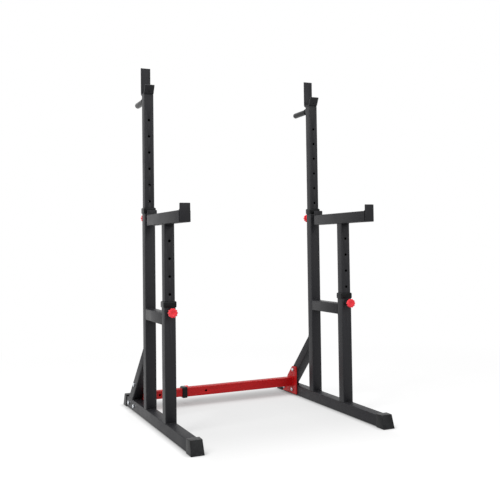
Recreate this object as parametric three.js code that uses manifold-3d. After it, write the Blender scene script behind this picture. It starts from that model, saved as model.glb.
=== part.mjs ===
import * as THREE from 'three';
import { mergeVertices } from 'three/addons/utils/BufferGeometryUtils.js';
import Module from 'manifold-3d';

// Adjustable squat stand with dip arms, in millimetres.
// Two side frames stand on long feet and are joined near the floor by a telescopic crossbar.
// x runs across the stand, y from its front (the arms' open ends) to its rear, z up.
// The origin is on the floor, midway between the frames and midway along the feet.

const wasm = await Module();
wasm.setup();

// Counts: how finely round stretches are faceted, and numbers of repeated features.
const ROUND_SIDES = 16;
const HOLE_SIDES = 12;
const CORNER_STEPS = 3;
const BEND_STEPS = 6;
const KNOB_LOBES = 10;
const POINTS_PER_LOBE = 4;
const HEX_SIDES = 6;

// Gaps between touching pieces, the overrun of a cutting tool past the surface it cuts, and the
// distance within which corners of one shape count as one.
const FIT_GAP = 0.3;
const SLIDE_CLEARANCE = 0.5;
const OVERRUN = 5;
const SAME_CORNER = 1e-4;

// Outer frame tube: feet, sleeves, ties, braces and arms.
const FRAME_TUBE = 50;
const FRAME_WALL = 2;
const FRAME_CORNER = 3.5;

// Overall layout.
const STAND_SPACING = 866;
const POST_SPACING = 330;

// Feet and their moulded end caps. A foot runs from its front tip past the front post, the rear
// post and the gusset plate to its rear cap.
const FOOT_FRONT_OVERHANG = 394;
const GUSSET_TO_CAP = 24;
const FOOT_LIFT = 3;
const CAP_GRIP = 40;
const CAP_NOSE = 7;
const CAP_SLOPE = 19;
const CAP_SIDE = 3;
const CAP_TOP = 6;
const CAP_EDGE = 2;
const CAP_NARROWING = 2.5;
const CAP_NOSE_CHAMFER = 3;

// Sleeves that the posts slide in, measured from the top of the foot.
const REAR_SLEEVE_LENGTH = 939;
const FRONT_SLEEVE_LENGTH = 518;
const TIE_BELOW_MOUTH = 74;

// Moulded collars round the sleeves' mouths.
const COLLAR_HEIGHT = 27;
const COLLAR_LID = 5;
const COLLAR_PROUD = 4;
const COLLAR_CHAMFER = 3;

// Sliding posts and their rows of pin holes, counted from the top hole, whose depth is measured
// from the post's top. Below the last hole is the post's tail.
const POST_CORNER = 3;
const POST_WALL = 2;
const HOLE_SPACING = 77;
const REAR_HOLE_DEPTH = 122;
const REAR_HOLE_COUNT = 8;
const REAR_PINNED_HOLE = 6;
const REAR_TAIL_LENGTH = 338;
const FRONT_HOLE_DEPTH = 74;
const FRONT_HOLE_COUNT = 6;
const FRONT_PINNED_HOLE = 4;
const FRONT_TAIL_LENGTH = 70;

// Locking pins: a welded boss on the sleeve, a steel pin in it and a lobed knob on the pin.
const PIN_BELOW_MOUTH = 43;
const PIN_DIAMETER = 10;
const PIN_HOLE_CLEARANCE = 2;
const PIN_WITHDRAWN = 0.8;
const BOSS_DIAMETER = 24;
const BOSS_LENGTH = 10;
const KNOB_STANDOFF = 26;
const KNOB_DIAMETER = 41;
const KNOB_LOBE_DEPTH = 3;
const KNOB_HEAD = 16;
const KNOB_EDGE = 2.5;
const KNOB_HUB_DIAMETER = 27;
const KNOB_HUB_LENGTH = 6;
const KNOB_BORE_DEPTH = 13;

// Bar cradle: one bent strip on the top of each rear post, whose back stands behind the post.
const CRADLE_THICKNESS = 6;
const CRADLE_BACK_HEIGHT = 135;
const CRADLE_LIP_HEIGHT = 44;
const CRADLE_BACK_SETBACK = 11;
const CRADLE_LIP_REACH = 45;
const CRADLE_LIP_SHIFT = 24;
const CRADLE_BEND_RADIUS = 14;
const CRADLE_HOLE_DIAMETER = 9;
const CRADLE_HOLE_MARGIN = 1;

// Storage peg behind the top of each rear post.
const PEG_DIAMETER = 28;
const PEG_LENGTH = 176;
const PEG_DROP = 18.5;
const PEG_TIP_ROUND = 5;
const PEG_RING_PROUD = 2.5;
const PEG_RING_WIDTH = 6;
const PEG_RING_PLACE = 33;

// Dip arm on the top of each front post.
const ARM_LENGTH = 514;
const ARM_TO_SLEEVE = 37;
const ARM_PLATE_THICKNESS = 5;
const ARM_PLATE_WIDTH = 45;
const ARM_PLATE_CORNER = 3;
const ARM_FRONT_PLATE_HEIGHT = 79;
const ARM_REAR_PLATE_HEIGHT = 73;

// Diagonal brace behind the rear sleeve: the height at which its upper face meets the sleeve, and
// how far before the gusset plate's rear edge it meets the foot.
const BRACE_RISE = 282;
const BRACE_TOE = 17;

// Crossbar: a wide tube on the right frame slides over a narrower one on the left frame.
const CROSSBAR_TUBE = 45;
const CROSSBAR_WALL = 2;
const CROSSBAR_CORNER = 2.5;
const CROSSBAR_INSET = 62;
const CROSSBAR_TO_NUT = 10;
const CROSSBAR_INNER_SHOWN = 195;
const CROSSBAR_OVERLAP = 365;
const CROSSBAR_HOLE_SPACING = 80;
const CROSSBAR_PIN_PLACE = 39;
const CROSSBAR_HOLE_COUNT = 5;
const CROSSBAR_PINNED_HOLE = 2;
const CROSSBAR_COLLAR_LENGTH = 25;
const CROSSBAR_COLLAR_LID = 6;
const CROSSBAR_COLLAR_PROUD = 5;

// Gusset plates that carry the crossbar's ends, placed from the rear post and the floor.
const GUSSET_THICKNESS = 5;
const GUSSET_FRONT = 174;
const GUSSET_LENGTH = 176;
const GUSSET_TOP = 153;
const GUSSET_SHOULDER = 98;
const GUSSET_BOTTOM = 6;

// Bolts and nuts that hold the gusset plates.
const BOLT_DIAMETER = 10;
const BOLT_HOLE_CLEARANCE = 1;
const BOLT_HEAD_WIDTH = 17;
const BOLT_HEAD_HEIGHT = 6.4;
const BOLT_TAIL_LENGTH = 3;
const NUT_HEIGHT = 8;
const FRONT_BOLT_INSET = 47;
const REAR_BOLT_INSET = 25;
const BRACE_BOLT_ALONG = 149;

// Sizes that follow from the ones above.
const POST_WIDTH = FRAME_TUBE - 2 * FRAME_WALL - 2 * SLIDE_CLEARANCE;
const FRAME_HALF = FRAME_TUBE / 2;
const POST_HALF = POST_WIDTH / 2;
const FOOT_TOP = FOOT_LIFT + FRAME_TUBE;
const CAP_LENGTH = CAP_GRIP + CAP_NOSE + CAP_SLOPE;
const GUSSET_REAR = GUSSET_FRONT + GUSSET_LENGTH;
const FOOT_REAR_OVERHANG = GUSSET_REAR + GUSSET_TO_CAP + CAP_LENGTH;
const FOOT_LENGTH = FOOT_FRONT_OVERHANG + POST_SPACING + FOOT_REAR_OVERHANG;
const REAR_POST_Y = FOOT_LENGTH / 2 - FOOT_REAR_OVERHANG;
const FRONT_POST_Y = REAR_POST_Y - POST_SPACING;
const REAR_MOUTH = FOOT_TOP + REAR_SLEEVE_LENGTH;
const FRONT_MOUTH = FOOT_TOP + FRONT_SLEEVE_LENGTH;
const REAR_POST_TOP = REAR_MOUTH - PIN_BELOW_MOUTH + REAR_PINNED_HOLE * HOLE_SPACING + REAR_HOLE_DEPTH;
const FRONT_POST_TOP = FRONT_MOUTH - PIN_BELOW_MOUTH + FRONT_PINNED_HOLE * HOLE_SPACING + FRONT_HOLE_DEPTH;
const REAR_POST_LENGTH = REAR_HOLE_DEPTH + (REAR_HOLE_COUNT - 1) * HOLE_SPACING + REAR_TAIL_LENGTH;
const FRONT_POST_LENGTH = FRONT_HOLE_DEPTH + (FRONT_HOLE_COUNT - 1) * HOLE_SPACING + FRONT_TAIL_LENGTH;
const PIN_HOLE_DIAMETER = PIN_DIAMETER + PIN_HOLE_CLEARANCE;
const PIN_LENGTH = FRAME_HALF + KNOB_STANDOFF + KNOB_BORE_DEPTH - POST_HALF - PIN_WITHDRAWN;
const ARM_REAR_OVERHANG = POST_SPACING - FRAME_HALF - ARM_TO_SLEEVE - ARM_PLATE_THICKNESS - FIT_GAP;
const BRACE_REACH = GUSSET_REAR - BRACE_TOE - FRAME_HALF;
const BRACE_LENGTH = Math.hypot(BRACE_RISE, BRACE_REACH);
const BOLT_HOLE_DIAMETER = BOLT_DIAMETER + BOLT_HOLE_CLEARANCE;
const BOLT_HEAD_RADIUS = BOLT_HEAD_WIDTH / 2 / Math.cos(Math.PI / HEX_SIDES);
const FOOT_BOLT_HEIGHT = FOOT_LIFT + FRAME_HALF;
const FRONT_BOLT_SETBACK = GUSSET_FRONT + FRONT_BOLT_INSET;
const REAR_BOLT_SETBACK = GUSSET_REAR - REAR_BOLT_INSET;
const CROSSBAR_INNER_TUBE = CROSSBAR_TUBE - 2 * CROSSBAR_WALL - 2 * SLIDE_CLEARANCE;
const CROSSBAR_Y = REAR_POST_Y + GUSSET_FRONT + CROSSBAR_INSET;
const CROSSBAR_HEIGHT = FOOT_BOLT_HEIGHT + BOLT_HEAD_RADIUS + CROSSBAR_TO_NUT + CROSSBAR_TUBE / 2;
const CROSSBAR_END_X = STAND_SPACING / 2 - FRAME_HALF - GUSSET_THICKNESS - 2 * FIT_GAP;
const CROSSBAR_OUTER_LENGTH = 2 * CROSSBAR_END_X - CROSSBAR_INNER_SHOWN;
const CROSSBAR_INNER_LENGTH = CROSSBAR_INNER_SHOWN + CROSSBAR_OVERLAP;
const CROSSBAR_PIN_TO_FIRST = CROSSBAR_PINNED_HOLE * CROSSBAR_HOLE_SPACING;
const CROSSBAR_FIRST_HOLE = CROSSBAR_INNER_SHOWN + CROSSBAR_PIN_PLACE - CROSSBAR_PIN_TO_FIRST;
const GUSSET_X = FRAME_HALF + FIT_GAP + GUSSET_THICKNESS / 2;
const BOLT_LENGTH = FRAME_TUBE + GUSSET_THICKNESS + NUT_HEIGHT + BOLT_TAIL_LENGTH + 3 * FIT_GAP;

// Finishes.
const BLACK_POWDER_COAT = { color: 0x36373b, roughness: 0.55, metalness: 0.15 };
const RED_POWDER_COAT = { color: 0xb3232a, roughness: 0.4, metalness: 0.1 };
const BLACK_PLASTIC = { color: 0x232427, roughness: 0.6, metalness: 0 };
const RED_PLASTIC = { color: 0xea2f3b, roughness: 0.4, metalness: 0 };
const BLACK_RUBBER = { color: 0x2b2b2d, roughness: 0.8, metalness: 0 };
const ZINC_PLATE = { color: 0xc9ccd1, roughness: 0.3, metalness: 0.9 };

// Joining and cutting closed shapes.

function asSolid(geometry) {
  const bare = geometry.clone();
  bare.deleteAttribute('normal');
  bare.deleteAttribute('uv');
  const merged = mergeVertices(bare, SAME_CORNER);
  const vertProperties = new Float32Array(merged.attributes.position.array);
  const triVerts = new Uint32Array(merged.index.array);
  return new wasm.Manifold(new wasm.Mesh({ numProp: 3, vertProperties, triVerts }));
}

function asGeometry(solid) {
  const mesh = solid.getMesh();
  const geometry = new THREE.BufferGeometry();
  geometry.setAttribute('position', new THREE.BufferAttribute(mesh.vertProperties, 3));
  geometry.setIndex(new THREE.BufferAttribute(mesh.triVerts, 1));
  geometry.computeVertexNormals();
  return geometry;
}

function joined(geometries) {
  const solids = geometries.map(asSolid);
  return asGeometry(solids.reduce((whole, solid) => whole.add(solid)));
}

function cutBy(geometry, tools) {
  const solids = tools.map(asSolid);
  return asGeometry(solids.reduce((rest, tool) => rest.subtract(tool), asSolid(geometry)));
}

function keptInside(geometry, region) {
  return asGeometry(asSolid(geometry).intersect(asSolid(region)));
}

// Basic shapes, each made centred on its own axis.

function roundedRectangle(width, height, corner) {
  const x = width / 2 - corner;
  const y = height / 2 - corner;
  const shape = new THREE.Shape();
  shape.absarc(x, y, corner, 0, Math.PI / 2);
  shape.absarc(-x, y, corner, Math.PI / 2, Math.PI);
  shape.absarc(-x, -y, corner, Math.PI, 1.5 * Math.PI);
  shape.absarc(x, -y, corner, 1.5 * Math.PI, 2 * Math.PI);
  return shape;
}

function squareHole(width) {
  const half = width / 2;
  return new THREE.Path([
    new THREE.Vector2(-half, -half),
    new THREE.Vector2(-half, half),
    new THREE.Vector2(half, half),
    new THREE.Vector2(half, -half),
  ]);
}

function extruded(shape, depth, steps = CORNER_STEPS) {
  return new THREE.ExtrudeGeometry(shape, { depth, bevelEnabled: false, curveSegments: steps });
}

function chamfered(shape, depth, chamfer) {
  const options = { bevelThickness: chamfer, bevelSize: chamfer, bevelOffset: -chamfer, bevelSegments: 1 };
  const geometry = new THREE.ExtrudeGeometry(shape, {
    depth: depth - 2 * chamfer,
    curveSegments: CORNER_STEPS,
    ...options,
  });
  return geometry.translate(0, 0, chamfer);
}

// A square tube that stands on z = 0.
function squareTube(width, corner, wall, length) {
  const section = roundedRectangle(width, width, corner);
  section.holes.push(squareHole(width - 2 * wall));
  return extruded(section, length);
}

function alongX(geometry) {
  return geometry.rotateY(Math.PI / 2);
}

function alongY(geometry) {
  return geometry.rotateX(-Math.PI / 2);
}

// Turns an outline drawn in (y, z) into a solid of the given width, centred on x = 0.
function sideProfile(geometry, width) {
  const turn = new THREE.Matrix4().makeBasis(
    new THREE.Vector3(0, 1, 0),
    new THREE.Vector3(0, 0, 1),
    new THREE.Vector3(1, 0, 0),
  );
  return geometry.applyMatrix4(turn).translate(-width / 2, 0, 0);
}

function rodAlongY(diameter, length, sides = ROUND_SIDES) {
  return new THREE.CylinderGeometry(diameter / 2, diameter / 2, length, sides);
}

function rodAlongX(diameter, length, sides = ROUND_SIDES) {
  return rodAlongY(diameter, length, sides).rotateZ(Math.PI / 2);
}

function polygon(points) {
  return new THREE.Shape(points.map(([x, y]) => new THREE.Vector2(x, y)));
}

// Feet.

function boltCutter(y, z) {
  return rodAlongX(BOLT_HOLE_DIAMETER, FRAME_TUBE + 2 * OVERRUN, HOLE_SIDES).translate(0, y, z);
}

function footTube() {
  const length = FOOT_LENGTH - 2 * (CAP_LENGTH - CAP_GRIP) - 2 * FIT_GAP;
  const tube = alongY(squareTube(FRAME_TUBE, FRAME_CORNER, FRAME_WALL, length));
  tube.translate(0, -length / 2, FOOT_LIFT + FRAME_HALF);
  return cutBy(tube, [
    boltCutter(REAR_POST_Y + FRONT_BOLT_SETBACK, FOOT_BOLT_HEIGHT),
    boltCutter(REAR_POST_Y + REAR_BOLT_SETBACK, FOOT_BOLT_HEIGHT),
  ]);
}

// Draws a cap's sides in, by most at the top of its nose and not at all along its base and mouth.
function narrowedCap(block) {
  const corners = block.attributes.position;
  for (let i = 0; i < corners.count; i += 1) {
    const x = corners.getX(i);
    const drawn = (-corners.getY(i) / CAP_LENGTH) * (corners.getZ(i) / (FOOT_TOP + CAP_TOP));
    corners.setX(i, x - Math.sign(x) * CAP_NARROWING * drawn);
  }
  return block;
}

// A cap that closes the front end of a foot: its open side faces +y, its nose slopes to the floor.
function footCap() {
  const width = FRAME_TUBE + 2 * CAP_SIDE;
  const height = FOOT_TOP + CAP_TOP;
  const slopeAtChamfer = (CAP_SLOPE * CAP_NOSE_CHAMFER) / height;
  const outline = polygon([
    [0, 0],
    [0, height],
    [-CAP_LENGTH + CAP_SLOPE + CAP_NOSE_CHAMFER, height],
    [-CAP_LENGTH + CAP_SLOPE - slopeAtChamfer, height - CAP_NOSE_CHAMFER],
    [-CAP_LENGTH, 0],
  ].reverse());
  const block = narrowedCap(sideProfile(chamfered(outline, width, CAP_EDGE), width));
  const socketWidth = FRAME_TUBE + 2 * FIT_GAP;
  const socket = new THREE.BoxGeometry(socketWidth, CAP_GRIP + OVERRUN, socketWidth);
  socket.translate(0, (OVERRUN - CAP_GRIP) / 2, FOOT_LIFT + FRAME_HALF);
  return cutBy(block, [socket]);
}

// Sleeves, ties and braces.

// The side is 1 when the pin enters from the rear (+y) and -1 from the front.
function sleeve(length, side) {
  const pinHeight = length - PIN_BELOW_MOUTH;
  const tube = squareTube(FRAME_TUBE, FRAME_CORNER, FRAME_WALL, length - FIT_GAP);
  const root = FRAME_WALL / 2;
  const boss = rodAlongY(BOSS_DIAMETER, BOSS_LENGTH + root);
  boss.translate(0, side * (FRAME_HALF + (BOSS_LENGTH - root) / 2), pinHeight);
  const boreLength = FRAME_WALL + BOSS_LENGTH + 2 * OVERRUN;
  const bore = rodAlongY(PIN_DIAMETER + 2 * FIT_GAP, boreLength, HOLE_SIDES);
  bore.translate(0, side * (FRAME_HALF + BOSS_LENGTH + OVERRUN - boreLength / 2), pinHeight);
  return cutBy(joined([tube, boss]), [bore]).translate(0, 0, FIT_GAP);
}

function tieTube() {
  const length = POST_SPACING - FRAME_TUBE - 2 * FIT_GAP;
  return alongY(squareTube(FRAME_TUBE, FRAME_CORNER, FRAME_WALL, length)).translate(0, -length / 2, 0);
}

// Made with y = 0 on the sleeve's rear face and z = 0 on the foot's top.
function brace() {
  const tilt = Math.atan2(BRACE_REACH, BRACE_RISE);
  const run = BRACE_LENGTH + 2 * FRAME_TUBE;
  const tube = squareTube(FRAME_TUBE, FRAME_CORNER, FRAME_WALL, run);
  tube.translate(0, -FRAME_HALF, -FRAME_TUBE).rotateX(tilt).translate(0, BRACE_REACH, 0);
  const region = new THREE.BoxGeometry(2 * FRAME_TUBE, 2 * BRACE_REACH, 2 * BRACE_RISE);
  region.translate(0, BRACE_REACH + FIT_GAP, BRACE_RISE + FIT_GAP);
  const bolt = braceBoltPlace();
  return cutBy(keptInside(tube, region), [boltCutter(bolt.y, bolt.z)]);
}

// The bolt's place on the brace's centre line, measured up from where that line starts.
function braceBoltPlace() {
  const along = { y: -BRACE_REACH / BRACE_LENGTH, z: BRACE_RISE / BRACE_LENGTH };
  const start = { y: BRACE_REACH - FRAME_HALF * along.z, z: FRAME_HALF * along.y };
  return { y: start.y + BRACE_BOLT_ALONG * along.y, z: start.z + BRACE_BOLT_ALONG * along.z };
}

// Height above the foot's top of the brace's upper face, at a distance behind the sleeve.
function braceUpperDistance(height) {
  return BRACE_REACH * (1 - height / BRACE_RISE);
}

// A collar made with z = 0 at the tube's mouth, the lid above it and the skirt below.
function mouthCollar(tubeWidth, innerWidth, proud, height, lid) {
  const width = tubeWidth + 2 * proud;
  const block = chamfered(roundedRectangle(width, width, FRAME_CORNER + proud), height, COLLAR_CHAMFER);
  block.translate(0, 0, lid - height);
  const bore = new THREE.BoxGeometry(innerWidth + 2 * FIT_GAP, innerWidth + 2 * FIT_GAP, 2 * height);
  const seat = new THREE.BoxGeometry(tubeWidth + 2 * FIT_GAP, tubeWidth + 2 * FIT_GAP, height);
  seat.translate(0, 0, FIT_GAP - height / 2);
  return cutBy(block, [bore, seat]);
}

// Posts.

function pinHoleCutters(count, first, length) {
  return Array.from({ length: count }, (_, i) => {
    const cutter = rodAlongY(PIN_HOLE_DIAMETER, POST_WIDTH + 2 * OVERRUN, HOLE_SIDES);
    return cutter.translate(0, 0, length - first - i * HOLE_SPACING);
  });
}

function post(length, first, count) {
  const tube = squareTube(POST_WIDTH, POST_CORNER, POST_WALL, length);
  return cutBy(tube, pinHoleCutters(count, first, length));
}

// Locking pins and knobs, made with y = 0 at the post's axis and pointing along +y.

function pinRod() {
  const tip = POST_HALF + PIN_WITHDRAWN;
  return rodAlongY(PIN_DIAMETER, PIN_LENGTH, HOLE_SIDES).translate(0, tip + PIN_LENGTH / 2, 0);
}

function lobedOutline() {
  const count = KNOB_LOBES * POINTS_PER_LOBE;
  const points = Array.from({ length: count }, (_, i) => {
    const angle = (2 * Math.PI * i) / count;
    const dip = (1 - Math.cos(KNOB_LOBES * angle)) / 2;
    const radius = KNOB_DIAMETER / 2 - KNOB_LOBE_DEPTH * dip;
    return new THREE.Vector2(radius * Math.cos(angle), radius * Math.sin(angle));
  });
  return new THREE.Shape(points);
}

function knob() {
  const head = alongY(chamfered(lobedOutline(), KNOB_HEAD, KNOB_EDGE));
  head.translate(0, FRAME_HALF + KNOB_STANDOFF + KNOB_HUB_LENGTH, 0);
  const root = KNOB_HEAD / 2;
  const hub = rodAlongY(KNOB_HUB_DIAMETER, KNOB_HUB_LENGTH + root);
  hub.translate(0, FRAME_HALF + KNOB_STANDOFF + (KNOB_HUB_LENGTH + root) / 2, 0);
  const boreDepth = KNOB_BORE_DEPTH + FIT_GAP + OVERRUN;
  const bore = rodAlongY(PIN_DIAMETER + 2 * FIT_GAP, boreDepth, HOLE_SIDES);
  bore.translate(0, FRAME_HALF + KNOB_STANDOFF - OVERRUN + boreDepth / 2, 0);
  return cutBy(joined([head, hub]), [bore]);
}

// Bar cradle.

function unit(from, to) {
  return to.clone().sub(from).normalize();
}

function rightOf(direction) {
  return new THREE.Vector2(direction.y, -direction.x);
}

// The arc that rounds a right-hand corner of a centre line.
function bendAt(before, corner, after, radius) {
  const arriving = unit(before, corner);
  const leaving = unit(corner, after);
  const turn = Math.acos(arriving.dot(leaving));
  const centre = corner.clone()
    .addScaledVector(arriving, -radius * Math.tan(turn / 2))
    .addScaledVector(rightOf(arriving), radius);
  const start = rightOf(arriving).negate().angle();
  const end = rightOf(leaving).negate().angle();
  return { centre, start, end };
}

// Outline of a strip of even thickness bent to the right at each inner point of a centre line.
function bentStrip(points, radius, thickness) {
  const bends = points.slice(1, -1).map((corner, i) => bendAt(points[i], corner, points[i + 2], radius));
  const first = points[0];
  const last = points[points.length - 1];
  const startSide = rightOf(unit(first, points[1])).multiplyScalar(thickness / 2);
  const endSide = rightOf(unit(points[points.length - 2], last)).multiplyScalar(thickness / 2);
  const shape = new THREE.Shape();
  shape.moveTo(first.x + startSide.x, first.y + startSide.y);
  shape.lineTo(first.x - startSide.x, first.y - startSide.y);
  bends.forEach(({ centre, start, end }) => {
    shape.absarc(centre.x, centre.y, radius + thickness / 2, start, end, true);
  });
  shape.lineTo(last.x - endSide.x, last.y - endSide.y);
  shape.lineTo(last.x + endSide.x, last.y + endSide.y);
  bends.slice().reverse().forEach(({ centre, start, end }) => {
    shape.absarc(centre.x, centre.y, radius - thickness / 2, end, start, false);
  });
  return shape;
}

// Made with z = 0 under the strip and y = 0 at the post's axis: tall back, floor, leaning lip.
function barCradle() {
  const half = CRADLE_THICKNESS / 2;
  const backMiddle = POST_HALF + CRADLE_BACK_SETBACK + half;
  const lean = new THREE.Vector2(-CRADLE_LIP_SHIFT, CRADLE_LIP_HEIGHT).normalize();
  const lipTop = new THREE.Vector2(-CRADLE_LIP_REACH + half * lean.y, CRADLE_LIP_HEIGHT + half * lean.x);
  const lipFoot = new THREE.Vector2(lipTop.x - ((lipTop.y - half) * lean.x) / lean.y, half);
  const centreLine = [
    new THREE.Vector2(backMiddle, CRADLE_BACK_HEIGHT),
    new THREE.Vector2(backMiddle, half),
    lipFoot,
    lipTop,
  ];
  const outline = bentStrip(centreLine, CRADLE_BEND_RADIUS, CRADLE_THICKNESS);
  const strip = sideProfile(extruded(outline, POST_WIDTH, BEND_STEPS), POST_WIDTH);
  const drill = rodAlongY(CRADLE_HOLE_DIAMETER, CRADLE_LIP_REACH + OVERRUN, HOLE_SIDES);
  const drillHeight = CRADLE_THICKNESS + CRADLE_HOLE_MARGIN + CRADLE_HOLE_DIAMETER / 2;
  drill.translate(0, -(CRADLE_LIP_REACH + OVERRUN) / 2, drillHeight);
  return cutBy(strip, [drill]);
}

// Storage peg, made with its root at y = 0 and pointing along +y.
function storagePeg() {
  const radius = PEG_DIAMETER / 2;
  const ring = radius + PEG_RING_PROUD;
  const points = [
    new THREE.Vector2(0, 0),
    new THREE.Vector2(radius, 0),
    new THREE.Vector2(radius, PEG_RING_PLACE),
    new THREE.Vector2(ring, PEG_RING_PLACE),
    new THREE.Vector2(ring, PEG_RING_PLACE + PEG_RING_WIDTH),
    new THREE.Vector2(radius, PEG_RING_PLACE + PEG_RING_WIDTH),
  ];
  for (let i = 0; i <= CORNER_STEPS; i += 1) {
    const angle = (Math.PI / 2) * (i / CORNER_STEPS);
    const across = radius - PEG_TIP_ROUND * (1 - Math.cos(angle));
    points.push(new THREE.Vector2(across, PEG_LENGTH - PEG_TIP_ROUND * (1 - Math.sin(angle))));
  }
  points.push(new THREE.Vector2(0, PEG_LENGTH));
  return new THREE.LatheGeometry(points, ROUND_SIDES);
}

// Dip arm, made with z = 0 at its axis and y = 0 at its rear end.

function armTube() {
  return alongY(squareTube(FRAME_TUBE, FRAME_CORNER, FRAME_WALL, ARM_LENGTH)).translate(0, -ARM_LENGTH, 0);
}

function armPlate(height) {
  const shape = roundedRectangle(ARM_PLATE_WIDTH, height, ARM_PLATE_CORNER);
  return alongY(extruded(shape, ARM_PLATE_THICKNESS)).translate(0, 0, height / 2);
}

// Crossbar. Each tube is made from x = 0 at its frame's end, pointing away from the frame.

function crossbarCutter(x, fromSide) {
  const length = CROSSBAR_TUBE + OVERRUN;
  return rodAlongY(PIN_HOLE_DIAMETER, length, HOLE_SIDES).translate(x, fromSide * (length / 2), 0);
}

// The pin's boss is on the rear face, and one spare hole is in the front face.
function crossbarOuterTube() {
  const tube = alongX(squareTube(CROSSBAR_TUBE, CROSSBAR_CORNER, CROSSBAR_WALL, CROSSBAR_OUTER_LENGTH));
  tube.translate(-CROSSBAR_OUTER_LENGTH, 0, 0);
  const pinX = CROSSBAR_PIN_PLACE - CROSSBAR_OUTER_LENGTH;
  const root = CROSSBAR_WALL / 2;
  const boss = rodAlongY(BOSS_DIAMETER, BOSS_LENGTH + root);
  boss.translate(pinX, (CROSSBAR_TUBE + BOSS_LENGTH - root) / 2, 0);
  const boreLength = CROSSBAR_WALL + BOSS_LENGTH + 2 * OVERRUN;
  const bore = rodAlongY(PIN_DIAMETER + 2 * FIT_GAP, boreLength, HOLE_SIDES);
  bore.translate(pinX, CROSSBAR_TUBE / 2 + BOSS_LENGTH + OVERRUN - boreLength / 2, 0);
  return cutBy(joined([tube, boss]), [bore, crossbarCutter(pinX + CROSSBAR_HOLE_SPACING, -1)]);
}

function crossbarInnerTube() {
  const tube = alongX(squareTube(CROSSBAR_INNER_TUBE, CROSSBAR_CORNER, CROSSBAR_WALL, CROSSBAR_INNER_LENGTH));
  const holes = Array.from({ length: CROSSBAR_HOLE_COUNT }, (_, i) => {
    const cutter = rodAlongY(PIN_HOLE_DIAMETER, CROSSBAR_INNER_TUBE + 2 * OVERRUN, HOLE_SIDES);
    return cutter.translate(CROSSBAR_FIRST_HOLE + i * CROSSBAR_HOLE_SPACING, 0, 0);
  });
  return cutBy(tube, holes);
}

// Gusset plates, made with y = 0 at the rear post's axis and z = 0 on the floor.
function gussetPlate() {
  const bolt = braceBoltPlace();
  const upper = (height) => FRAME_HALF + braceUpperDistance(height - FOOT_TOP);
  const outline = polygon([
    [GUSSET_FRONT, GUSSET_BOTTOM],
    [GUSSET_REAR, GUSSET_BOTTOM],
    [upper(GUSSET_SHOULDER), GUSSET_SHOULDER],
    [upper(GUSSET_TOP), GUSSET_TOP],
    [GUSSET_FRONT, GUSSET_TOP],
  ]);
  const plate = sideProfile(extruded(outline, GUSSET_THICKNESS), GUSSET_THICKNESS);
  return cutBy(plate, [
    boltCutter(FRONT_BOLT_SETBACK, FOOT_BOLT_HEIGHT),
    boltCutter(REAR_BOLT_SETBACK, FOOT_BOLT_HEIGHT),
    boltCutter(FRAME_HALF + bolt.y, FOOT_TOP + bolt.z),
  ]);
}

// Fasteners, made along x with the head's seat at x = 0 and the shank pointing along +x.

function hexagon() {
  const points = Array.from({ length: HEX_SIDES }, (_, i) => {
    const angle = (2 * Math.PI * i) / HEX_SIDES;
    return new THREE.Vector2(BOLT_HEAD_RADIUS * Math.cos(angle), BOLT_HEAD_RADIUS * Math.sin(angle));
  });
  return new THREE.Shape(points);
}

function bolt() {
  const blank = extruded(hexagon(), BOLT_HEAD_HEIGHT);
  const head = alongX(blank).translate(-BOLT_HEAD_HEIGHT, 0, 0);
  const root = BOLT_HEAD_HEIGHT / 2;
  const shank = rodAlongX(BOLT_DIAMETER, BOLT_LENGTH + root, HOLE_SIDES);
  return joined([head, shank.translate((BOLT_LENGTH - root) / 2, 0, 0)]);
}

function nut() {
  const blank = alongX(extruded(hexagon(), NUT_HEIGHT));
  const thread = rodAlongX(BOLT_DIAMETER + 2 * FIT_GAP, NUT_HEIGHT + 2 * OVERRUN, HOLE_SIDES);
  return cutBy(blank, [thread.translate(NUT_HEIGHT / 2, 0, 0)]);
}

// Assembly.

function material(finish) {
  return new THREE.MeshStandardMaterial(finish);
}

function piece(name, geometry, finish, place, turnZ = 0) {
  const mesh = new THREE.Mesh(geometry, material(finish));
  mesh.name = name;
  mesh.position.set(place[0], place[1], place[2]);
  mesh.rotation.z = turnZ;
  return mesh;
}

function footPieces(side) {
  const end = FOOT_LENGTH / 2;
  const capMouth = end - CAP_LENGTH;
  return [
    piece(`${side}_foot_tube`, footTube(), BLACK_POWDER_COAT, [0, 0, 0]),
    piece(`${side}_front_foot_cap`, footCap(), BLACK_RUBBER, [0, -capMouth, 0]),
    piece(`${side}_rear_foot_cap`, footCap(), BLACK_RUBBER, [0, capMouth, 0], Math.PI),
  ];
}

function framePieces(side) {
  const rear = REAR_POST_Y;
  const tieY = rear - POST_SPACING / 2;
  const braceY = rear + FRAME_HALF;
  const front = FRONT_POST_Y;
  const collar = () => mouthCollar(FRAME_TUBE, POST_WIDTH, COLLAR_PROUD, COLLAR_HEIGHT, COLLAR_LID);
  return [
    piece(`${side}_rear_sleeve`, sleeve(REAR_SLEEVE_LENGTH, 1), BLACK_POWDER_COAT, [0, rear, FOOT_TOP]),
    piece(`${side}_front_sleeve`, sleeve(FRONT_SLEEVE_LENGTH, -1), BLACK_POWDER_COAT, [0, front, FOOT_TOP]),
    piece(`${side}_tie_tube`, tieTube(), BLACK_POWDER_COAT, [0, tieY, FRONT_MOUTH - TIE_BELOW_MOUTH]),
    piece(`${side}_brace`, brace(), BLACK_POWDER_COAT, [0, braceY, FOOT_TOP]),
    piece(`${side}_rear_collar`, collar(), BLACK_PLASTIC, [0, rear, REAR_MOUTH]),
    piece(`${side}_front_collar`, collar(), BLACK_PLASTIC, [0, front, FRONT_MOUTH]),
  ];
}

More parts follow.
